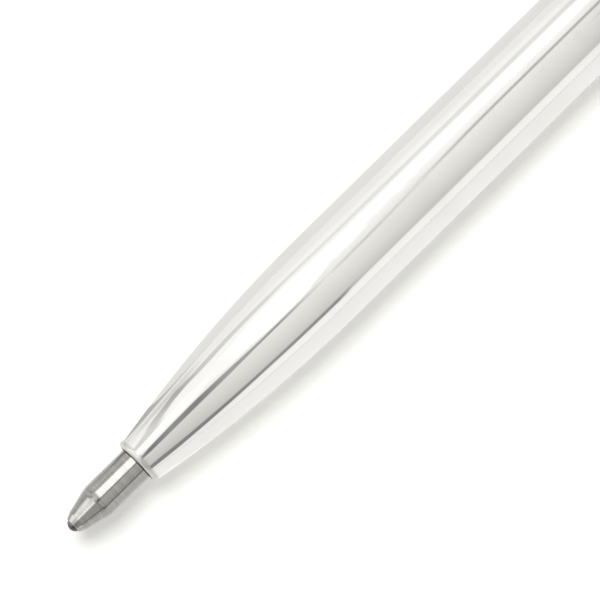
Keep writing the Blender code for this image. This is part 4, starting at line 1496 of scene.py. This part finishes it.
@dataclass
class SwivelClasp:
    """The swivel eye, the hooked body, the sprung lever, its pin and its spring."""

    finishes: Finishes
    wire: Wire
    hook: HookForm = HookForm()
    eye_length: float = 4.40 * MM
    eye_width: float = 4.00 * MM
    post_radius: float = 0.60 * MM
    post_gap: float = 0.06 * MM
    head_radius: float = 0.95 * MM
    head_length: float = 0.50 * MM
    neck_radius: float = 1.50 * MM
    collar_length: float = 0.80 * MM
    collar_edge: float = 0.20 * MM
    waist_drop: float = 0.22 * MM
    hub_radius: float = 0.85 * MM
    hub_gap: float = 0.12 * MM
    lever_half_thickness: float = 0.60 * MM
    cheek_gap: float = 0.06 * MM
    lever_half_bar: float = 0.45 * MM
    lever_edge: float = 0.22 * MM
    lever_taper: float = 0.25
    lever_dip: float = 0.9975 * MM
    gate_half_height: float = 1.10 * MM
    gate_taper: float = 0.30
    shoulder: float = math.radians(117)
    shoulder_slope: float = math.radians(2)
    dip_start: float = math.radians(112)
    dip_end: float = math.radians(68)
    lever_end: float = math.radians(49)
    thumb_radius: float = 0.60 * MM
    thumb_angle: float = math.radians(103)
    pin_radius: float = 0.35 * MM
    pin_gap: float = 0.03 * MM
    pin_inset: float = 0.10 * MM
    pin_dome: float = 0.16 * MM
    pocket_wall: float = 0.17 * MM
    spring_wire: float = 0.09 * MM
    spring_turns: float = 2.5
    spring_pitch: float = 0.21 * MM
    overrun: float = 1.0 * MM
    lever_steps: int = 48
    spring_steps: int = 48
    spring_sides: int = 12
    segments: int = 96

    def build(self) -> None:
        """Make the five pieces of the clasp."""
        turn = joint_named("clasp_turn")
        origin = Vector(turn["pos_m"])
        self.matrix = frame_between(origin, origin + Vector(turn["axis"]), Vector((0, 0, 1)))
        self.swivel()
        self.body()
        self.lever()
        self.pin()
        self.spring()

    def at_pivot(self, height: float = 0.0) -> Matrix:
        """Frame at the lever's pivot."""
        return self.matrix @ Matrix.Translation((*self.hook.pivot, height))

    def finish(self, item: Item, body: str, node: str) -> None:
        """Take a silver piece from the clasp's own frame to its place, and dress it."""
        item.data.transform(self.matrix)
        dress(item, self.finishes.clasp, body, Slot.SILVER, node)

    def swivel(self) -> None:
        """Make the eye with its post and head."""
        joint = joint_named("clasp_eye_swing")
        origin = Vector(joint["pos_m"])
        place = frame_between(origin, self.matrix.translation, Vector(joint["axis"]))
        silver = self.finishes.clasp
        mesh = self.wire.loop("swivel_eye", silver, self.eye_length, self.eye_width)
        eye = placed(mesh, Matrix.Translation((self.wire.middle(self.eye_length), 0, 0)))
        far = self.eye_length - 2 * self.wire.radius - self.wire.crossing
        neck = self.wire.radius + SEAT_GAP + self.hook.neck_length
        head_front = neck + self.hook.half_bar + self.post_gap
        head_end = head_front + self.head_length
        corners = [
            (0, 0, 0),
            (0, self.post_radius, 0),
            (head_front, self.post_radius, 0),
            (head_front, self.head_radius, self.post_gap),
            (head_end, self.head_radius - self.post_gap, self.post_gap),
            (head_end, 0, 0),
        ]
        shape(eye, turned("swivel_post", eased(corners), self.segments), Join.ADD, (far, 0, 0))
        eye.data.transform(place)
        dress(eye, silver, "clasp_eye", Slot.SILVER, "clasp_swivel")

    def neck_outline(self) -> Section:
        """Outline of the neck: a collar round the swivel, a waist and a flare into the hook.

        Returns:
            The outline as (station, radius) pairs.
        """
        waist = self.neck_radius - self.waist_drop
        flare = self.hook.neck_length - self.hook.half_bar
        corners = [
            (0, 0, 0),
            (0, self.neck_radius, self.collar_edge),
            (self.collar_length, self.neck_radius, self.collar_edge),
            (self.collar_length + self.collar_edge / 2, waist, self.collar_edge / 2),
            (self.collar_length + self.waist_drop, waist, self.waist_drop),
            (flare, self.neck_radius - self.collar_edge, self.waist_drop),
            (self.hook.neck_length, self.neck_radius, 0),
            (self.hook.neck_length, 0, 0),
        ]
        return eased(corners)

    def body(self) -> None:
        """Make the hook with its neck, cheeks, holes and bore."""
        hook, pivot = self.hook, self.hook.pivot
        body = placed(lofted("hooked_clasp_body", hook.rings()))
        shape(body, turned("clasp_neck", self.neck_outline(), self.segments), Join.ADD)
        reach = self.hub_radius + self.hub_gap
        outer = hook.half_width + self.overrun
        outline = [(pivot.x - reach, pivot.y - reach), (hook.centre, pivot.y - reach)]
        outline += [(hook.centre, outer), (pivot.x - reach, outer)]
        shape(body, block("cheek_slot", outline, self.lever_half_thickness + self.cheek_gap), Join.CUT)
        hole = rod("cheek_holes", self.pin_radius + self.pin_gap, hook.half_height + self.overrun)
        shape(body, hole, Join.CUT, (*pivot, 0))
        seat = hook.neck_length + hook.half_bar
        seat_end = seat + self.head_length + 2 * self.post_gap
        bore = self.post_radius + self.post_gap
        wide = self.head_radius + self.post_gap
        bored = [(-self.overrun, 0), (-self.overrun, bore), (seat, bore)]
        bored += [(seat, wide), (seat_end, wide), (seat_end, 0)]
        shape(body, turned("neck_bore", bored, self.segments), Join.CUT)
        self.finish(body, "clasp", "clasp_body")

    def lever_ring(self, angle: float, half_height: float, share: float) -> list[Corner]:
        """A section of the lever, which follows the oval and then dips inside the hook's tip.

        Args:
            angle: Where on the oval it stands.
            half_height: Half its height.
            share: How far along the gate it is, from 0 to 1.

        Returns:
            Its points.
        """
        dip = ease((self.dip_start - angle) / (self.dip_start - self.dip_end)) * self.lever_dip
        half_width = self.lever_half_bar * (1 - self.lever_taper * share)
        return self.hook.bar_ring(angle, -dip, half_width, half_height, self.lever_edge)

    def lever_rings(self) -> list[list[Corner]]:
        """Sections of the tongue between the cheeks and of the full-height gate beyond them.

        Returns:
            The sections in order.
        """
        tongue_angles = (self.hook.pivot_angle, self.shoulder)
        rings = [self.lever_ring(angle, self.lever_half_thickness, 0) for angle in tongue_angles]
        start = self.shoulder - self.shoulder_slope
        for i in range(self.lever_steps + 1):
            share = i / self.lever_steps
            angle = start + (self.lever_end - start) * share
            half_height = self.gate_half_height * (1 - self.gate_taper * share)
            rings.append(self.lever_ring(angle, half_height, share))
        return rings

    @property
    def pocket_depth(self) -> float:
        """Depth of the spring's pocket in the hub."""
        return self.spring_turns * self.spring_pitch + 2 * self.spring_wire + self.cheek_gap

    def lever(self) -> None:
        """Make the lever with its hub, thumb knob, hole and spring pocket."""
        pivot, thickness = self.hook.pivot, self.lever_half_thickness
        lever = placed(lofted("sprung_clasp_lever", self.lever_rings()))
        shape(lever, rod("lever_hub", self.hub_radius, thickness, self.cheek_gap), Join.ADD, (*pivot, 0))
        knob_height = self.gate_half_height - self.lever_edge
        knob = rod("thumb_knob", self.thumb_radius, knob_height, self.lever_edge)
        shape(lever, knob, Join.ADD, (*self.hook.point(self.thumb_angle, self.lever_half_bar), 0))
        hole = rod("hub_hole", self.pin_radius + self.pin_gap, 2 * thickness)
        shape(lever, hole, Join.CUT, (*pivot, 0))
        pocket = rod("spring_pocket", self.hub_radius - self.pocket_wall, self.pocket_depth)
        shape(lever, pocket, Join.CUT, (*pivot, thickness))
        self.finish(lever, "lever", "clasp_lever")

    def pin(self) -> None:
        """Make the pin with its domed ends."""
        half_length = self.hook.half_height - self.pin_inset
        mesh = rod("domed_clasp_pin", self.pin_radius, half_length, self.pin_dome)
        dress(placed(mesh, self.at_pivot()), self.finishes.spring, "clasp", Slot.SPRING, "clasp_pin")

    def spring(self) -> None:
        """Make the coil round the pin in the hub's pocket."""
        climb = self.spring_turns * self.spring_pitch
        steel = self.finishes.spring
        mesh = coil_tree().make(
            "coiled_clasp_spring",
            steel,
            turns=self.spring_turns,
            turn_steps=self.spring_steps,
            radius=(self.hub_radius - self.pocket_wall + self.pin_radius) / 2,
            height=climb,
            wire=self.spring_wire,
            wire_sides=self.spring_sides,
        )
        low = self.lever_half_thickness - self.spring_wire - climb
        dress(placed(mesh, self.at_pivot(low)), steel, "clasp", Slot.SPRING, "clasp_spring")


class InnerWorks:
    """The pieces inside the barrel, whose solids stay and get their finishes."""

    def __init__(self, finishes: Finishes) -> None:
        """Pair each node with its finish.

        Args:
            finishes: All finishes.
        """
        self.table = {
            "refill_tube": finishes.tube,
            "ink_column": finishes.ink,
            "refill_follower": finishes.acetal,
            "cam_sleeve": finishes.acetal,
            "follower_pin": finishes.spring,
            "snap_ring": finishes.spring,
            "thread_bush": finishes.brass,
            "guide_sleeve": finishes.brass,
            "friction_ring": finishes.rubber,
        }

    def build(self) -> None:
        """Dress the nodes."""
        for name, material in self.table.items():
            for slot in bpy.data.objects[name].material_slots:
                slot.material = material
            LOG.info("%s: finish %s", name, material.name)


@dataclass(frozen=True)
class TentStrip:
    """A strip of the light tent that is darker or brighter than its cloth.

    Each stop is (angle along the tent, angle round it, half width, display grey), in degrees. A
    grey above 255 is brighter than white.
    """

    stops: tuple[tuple[float, float, float, float], ...]
    softness: float = 4.0

    def shade(self, along: float, round_it: float) -> tuple[float, float]:
        """Look the strip up in a direction.

        Args:
            along: Angle along the tent.
            round_it: Angle round it.

        Returns:
            How much of the strip shows there, and its strength.
        """
        angle, half_width, level = between(self.stops, along)
        if half_width <= 0:
            return 0.0, 0.0
        return ease(0.5 + (half_width - abs(round_it - angle)) / self.softness), linear(level)


def straight(
    angle: float,
    half_width: float,
    level: float,
    reach: Sequence[Point],
    softness: float = TentStrip.softness,
) -> TentStrip:
    """A strip of one grey at one angle round the tent, whose reach gives its width along it."""
    return TentStrip(tuple((along, angle, half_width * share, level) for along, share in reach), softness)


# Where straight strips lie, as (angle along the tent, share of their width).
FRONT_END = ((-62, 1), (-50, 1), (-44, 0))
OVER_REFILL = ((-40, 1), (-24, 1), (-22, 0))
OVER_LIP = ((-22, 0), (-20.5, 1), (-17.2, 1), (-16.2, 0))
REAR_END = ((16, 0), (22, 1), (62, 1))


@dataclass(frozen=True)
class LightTent:
    """Half-round tent of glowing cloth over the pen, which only shows in its reflections.

    Angles are in degrees: along the tent from the pen's mouth, and round it from its lean. The
    greys are those that the barrel shows. The tint's rows are (strength, green, blue).
    """

    axis: PenAxis
    radius: float = 1.2
    lean: float = 7.1
    half_turn: float = 89.6
    half_reach: float = 62.0
    turns: int = 720
    reaches: int = 180
    silver: float = 0.955
    shade_softness: float = 8
    cloth: tuple[Point, ...] = (
        (-80, 236), (-70, 245), (-26, 250), (-18, 243), (0, 234),
        (36, 216), (54.5, 202), (60.5, 198), (63, 238), (73, 243),
    )
    cloth_shade: tuple[Point, ...] = ((-18, 0.83), (-13, 0.86), (-9, 0.90), (-4, 0.96), (1, 1.0))
    end_shade: tuple[Point, ...] = ((-46, 0.6), (-42, 1.0), (15, 1.0), (21, 0.6))
    cloth_tint: tuple[tuple[float, float, float], ...] = (
        (0.25, 0.980, 1.010), (0.45, 0.985, 0.985), (0.62, 0.991, 0.955),
        (0.80, 0.996, 0.965), (0.98, 0.999, 0.990),
    )
    strips: tuple[TentStrip, ...] = (
        TentStrip((
            (-9, -28, 0, 250), (-5, -28, 17, 250), (-2, -28, 18, 262), (1, -28, 22, 365),
            (4, -28, 22, 375), (5, -29.5, 20.5, 380), (8, -31.5, 15, 370), (9.2, -36.5, 10, 355),
            (13, -38, 9, 355),
        )),
        straight(-50, 8, 90, FRONT_END),
        straight(14, 6, 110, FRONT_END),
        straight(72, 8, 90, FRONT_END),
        straight(-52, 9, 80, REAR_END),
        straight(10, 7, 105, REAR_END),
        straight(68, 9, 80, REAR_END),
        straight(-60, 52, 325, OVER_REFILL, 10),
        straight(82, 22, 262, OVER_REFILL, 8),
        straight(-24, 20, 322, OVER_REFILL, 32),
        straight(-14, 5, 345, OVER_REFILL),
        TentStrip((
            (-22, -50, 0, 203), (-20.5, -50, 48, 203), (-17.2, -50, 48, 203), (-16.2, -50, 0, 210),
        ), 8),
        TentStrip((
            (-40, 32, 34, 203), (-22, 32, 34, 203), (-20, 30, 33, 172), (-17.2, 30, 33, 172),
            (-16.2, 30, 0, 190),
        ), 8),
        straight(90, 28, 212, OVER_LIP, 8),
        TentStrip((
            (-24, -31, 14, 300), (-19, -30, 12, 280), (-17, -29, 11, 256), (-9, -28, 12, 254),
            (-6, -28, 0, 254),
        ), 6),
        TentStrip((
            (-10.5, -88, 0, 214), (-9, -88, 8, 212), (-6, -86, 8, 210), (-4, -86, 5, 222),
            (-3, -86, 0, 230),
        ), 6),
        TentStrip((
            (-34, 60, 6, 165), (-17, 57, 6, 150), (-14, 58.5, 8, 130), (-11, 61.5, 7, 130),
            (-6, 61.5, 5, 128), (-1, 60.5, 4, 145), (7.8, 60.5, 4, 138), (8.7, 57, 3, 198),
            (13, 55, 0, 200),
        )),
        TentStrip((
            (-16.5, -45, 0, 215), (-15, -46, 7, 212), (-12.7, -50, 10, 212), (-11, -62, 9, 200),
            (-9, -68, 7, 182), (-7, -72, 8, 168), (-5.5, -67, 7, 200), (-2, -67, 6, 210),
            (2.5, -64, 5, 216), (5, -63, 4, 224), (8.4, -60, 4, 229), (12.6, -57, 5, 226),
        )),
        TentStrip((
            (-18, 1, 0, 140), (-16, -1, 8, 118), (-13, -2.5, 8.5, 145), (-9.5, -3, 8, 130),
            (-5.7, -1, 6, 160), (-2, 0.5, 3, 155), (2, 1, 2.5, 150), (4.5, 1, 2.5, 200),
            (7.9, 0.8, 2, 232), (9.3, 1.8, 2.6, 193), (10.9, -3.5, 2.8, 222), (12.2, -8.5, 3, 182),
            (13, -9.5, 3, 180),
        )),
    )

    def glow(self, along: float, round_it: float) -> float:
        """Strength of the tent in a direction.

        Args:
            along: Angle along the tent.
            round_it: Angle round it.

        Returns:
            The strength, as a share of white.
        """
        strength = linear(between(self.cloth, round_it)[0]) / self.silver
        shaded = ease(0.5 + round_it / self.shade_softness)
        strength *= 1 - shaded * (1 - between(self.cloth_shade, along)[0])
        for strip in self.strips:
            share, level = strip.shade(along, round_it)
            strength += (level / self.silver - strength) * share
        return strength * between(self.end_shade, along)[0]

    def build(self) -> Item:
        """Make the tent, with its glow in a colour attribute.

        Returns:
            The tent.
        """
        points, glows = [], []
        for i in range(self.turns + 1):
            turn = self.half_turn * (2 * i / self.turns - 1)
            side = math.sin(math.radians(turn)) * self.radius
            up = math.cos(math.radians(turn)) * self.radius
            for j in range(self.reaches + 1):
                along = self.half_reach * (2 * j / self.reaches - 1)
                x = self.axis.mouth + self.radius * math.tan(math.radians(along))
                points.append((x, self.axis.side - side, self.axis.height + up))
                level = self.glow(along, turn - self.lean)
                green, blue = between(self.cloth_tint, level)
                glows += [level, level * green, level * blue, 1]
        row = self.reaches + 1
        firsts = [i * row + j for i in range(self.turns) for j in range(self.reaches)]
        faces = [(first, first + 1, first + row + 1, first + row) for first in firsts]
        mesh = bpy.data.meshes.new("light_tent")
        mesh.from_pydata(points, [], faces)
        colours = mesh.color_attributes.new("glow", "FLOAT_COLOR", "POINT")
        colours.data.foreach_set("color", glows)
        mesh.materials.append(self.material())
        return reflected(placed(mesh))

    def material(self) -> Material:
        """Glow of the tent's cloth.

        Returns:
            The material.
        """
        graph = ShaderGraph("tent_cloth")
        glow = graph.add("ShaderNodeAttribute", {"attribute_name": "glow"})
        graph.shade(Emission_Color=glow.outputs["Color"], Emission_Strength=1)
        graph.shade(Base_Color=(0, 0, 0, 1), Roughness=1, Specular_IOR_Level=0)
        return graph.material


def reflected(item: Item) -> Item:
    """Hide a stage piece from all but glossy rays.

    Args:
        item: The piece.

    Returns:
        The same piece.
    """
    item.visible_camera = False
    item.visible_diffuse = False
    item.visible_transmission = False
    item.visible_shadow = False
    return item


@dataclass(frozen=True)
class Lamp:
    """Square lamp that leans from the zenith towards +Y and gives the floor a share of its light."""

    name: str
    lean: float
    size: float
    level: float
    distance: float = 1.0

    def build(self, target: Vector) -> None:
        """Hang the lamp over a point of the floor.

        Args:
            target: The point.
        """
        data = bpy.data.lights.new(self.name, "AREA")
        data.shape = "SQUARE"
        data.size = self.size
        data.energy = self.level * (math.pi * self.distance) ** 2 / math.cos(self.lean)
        lamp = bpy.data.objects.new(self.name, data)
        bpy.context.scene.collection.objects.link(lamp)
        away = Vector((0, math.sin(self.lean), math.cos(self.lean)))
        lamp.location = target + away * self.distance
        lamp.rotation_euler = away.to_track_quat("Z", "Y").to_euler()
        lamp.visible_glossy = False


@dataclass
class Studio:
    """Floor, cards, world, lamp and camera, with the light tent."""

    axis: PenAxis
    lens: float = 200
    sensor: float = 36
    clip_start: float = 0.01
    frame_width: float = 36.6 * MM
    pixel: float = 0.061 * MM
    image_size: float = 600
    tip_pixel: Point = (69.6, 529.1)
    elevation: float = math.radians(80)
    floor_half: float = 2.2
    floor_colour: Colour = (0.9, 0.897, 0.85)
    floor_glow: float = 0.30
    world_level: float = 0.36
    top_lamp: Lamp = Lamp("top_lamp", lean=math.radians(12), size=0.40, level=0.57)
    far_card_start: float = 6.7 * MM
    far_card_level: float = 0.86
    near_card_start: float = 3.6 * MM
    near_card_level: float = 0.985
    dark_card_start: float = -0.3 * MM
    dark_card_end: float = 2.6 * MM
    dark_card_level: float = 0.50
    card_tint: Colour = (1.0, 0.997, 0.975)
    card_width: float = 1.15
    card_reach: float = 1.0
    card_height: float = 0.02 * MM
    dark_card_height: float = 0.04 * MM

    def build(self) -> None:
        """Set up everything round the pen."""
        scene = bpy.context.scene
        scene.view_settings.view_transform = "Standard"
        self.floor()
        self.cards()
        LightTent(self.axis).build()
        self.world()
        self.top_lamp.build(Vector((self.axis.mouth + self.frame_width / 2, self.axis.side, 0)))
        scene.camera = self.camera()
        LOG.info("studio is set")

    def sheet(self, name: str, graph: ShaderGraph, colour: Colour, *places: float) -> Item:
        """A flat matt sheet.

        Args:
            name: Its name.
            graph: Its material, which gets its colour here.
            colour: That colour.
            places: Its low and high X, its low and high Y, and its height over the floor.

        Returns:
            The sheet.
        """
        west, east, near, far, height = places
        corners = [(west, near), (east, near), (east, far), (west, far)]
        mesh = bpy.data.meshes.new(name)
        mesh.from_pydata([(x, y, height) for x, y in corners], [], [(0, 1, 2, 3)])
        graph.shade(Base_Color=(*colour, 1), Roughness=1, Specular_IOR_Level=0)
        mesh.materials.append(graph.material)
        return placed(mesh)

    def floor(self) -> Item:
        """Pale floor that keeps its shadows, and glows to white for the camera and reflections.

        Returns:
            The floor.
        """
        graph = ShaderGraph("pale_floor")
        glow = graph.sum("MULTIPLY", graph.seen(), self.floor_glow)
        graph.shade(Emission_Color=(1, 1, 1, 1), Emission_Strength=glow)
        half = self.floor_half
        return self.sheet("floor", graph, self.floor_colour, -half, half, -half, half, 0)

    def cards(self) -> list[Item]:
        """Paper cards beside the pen, which only show in its reflections.

        Returns:
            The cards.
        """
        reach, width, height = self.card_reach, self.card_width, self.card_height
        far = self.axis.side + self.far_card_start
        near = self.axis.side - self.near_card_start
        west = self.axis.mouth + self.dark_card_start
        east = self.axis.mouth + self.dark_card_end
        rows = {
            "far_card": (self.far_card_level, -reach, reach, far, far + width, height),
            "near_card": (self.near_card_level, -reach, reach, near - width, near, height),
            "dark_card": (self.dark_card_level, west, east, far, far + width, self.dark_card_height),
        }
        cards = []
        for name, (level, *places) in rows.items():
            colour = [level * part for part in self.card_tint]
            cards.append(reflected(self.sheet(name, ShaderGraph(name), colour, *places)))
        return cards

    def world(self) -> None:
        """White surroundings for the camera and for reflections, and softer light on the floor."""
        world = bpy.data.worlds.new("white_room")
        world.use_nodes = True
        graph = NodeGraph(world.node_tree)
        level = graph.add("ShaderNodeMapRange", Value=graph.seen(), To_Min=self.world_level)
        background = graph.tree.nodes["Background"]
        graph.fill(background, {"Color": (1, 1, 1, 1), "Strength": level.outputs["Result"]})
        bpy.context.scene.world = world

    def camera(self) -> Item:
        """Camera over the point of the pen, at the photograph's angle.

        Returns:
            The camera.
        """
        data = bpy.data.cameras.new("camera")
        data.type = "PERSP"
        data.lens = self.lens
        data.sensor_width = self.sensor
        data.clip_start = self.clip_start
        camera = bpy.data.objects.new("camera", data)
        bpy.context.scene.collection.objects.link(camera)
        level = math.cos(self.elevation) / math.sqrt(2)
        look = Vector((level, level, -math.sin(self.elevation)))
        right = Vector((1, -1, 0)).normalized()
        up = right.cross(look)
        distance = self.frame_width * self.lens / self.sensor
        across = (self.tip_pixel[0] - self.image_size / 2) * self.pixel
        rise = (self.image_size / 2 - self.tip_pixel[1]) * self.pixel
        ball_front = Vector((self.axis.tip, self.axis.side, self.axis.height))
        place = ball_front - right * across - up * rise - look * distance
        turn = Matrix((right, up, -look)).transposed().to_4x4()
        camera.matrix_world = Matrix.Translation(place) @ turn
        return camera


def main() -> None:
    """Build the pen, its chain and clasp, and the studio, in order."""
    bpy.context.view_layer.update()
    axis = PenAxis.from_frame()
    finishes = Finishes(axis)
    wire = Wire()
    Studio(axis).build()
    RefillTip(axis, finishes).build()
    FrontHalf(axis, finishes).build()
    RearHalf(axis, finishes, wire).build()
    LinkChain(finishes, wire).build()
    SwivelClasp(finishes, wire).build()
    InnerWorks(finishes).build()


if __name__ == "__main__":
    logging.basicConfig(level=logging.INFO, format="%(name)s: %(message)s")
    main()
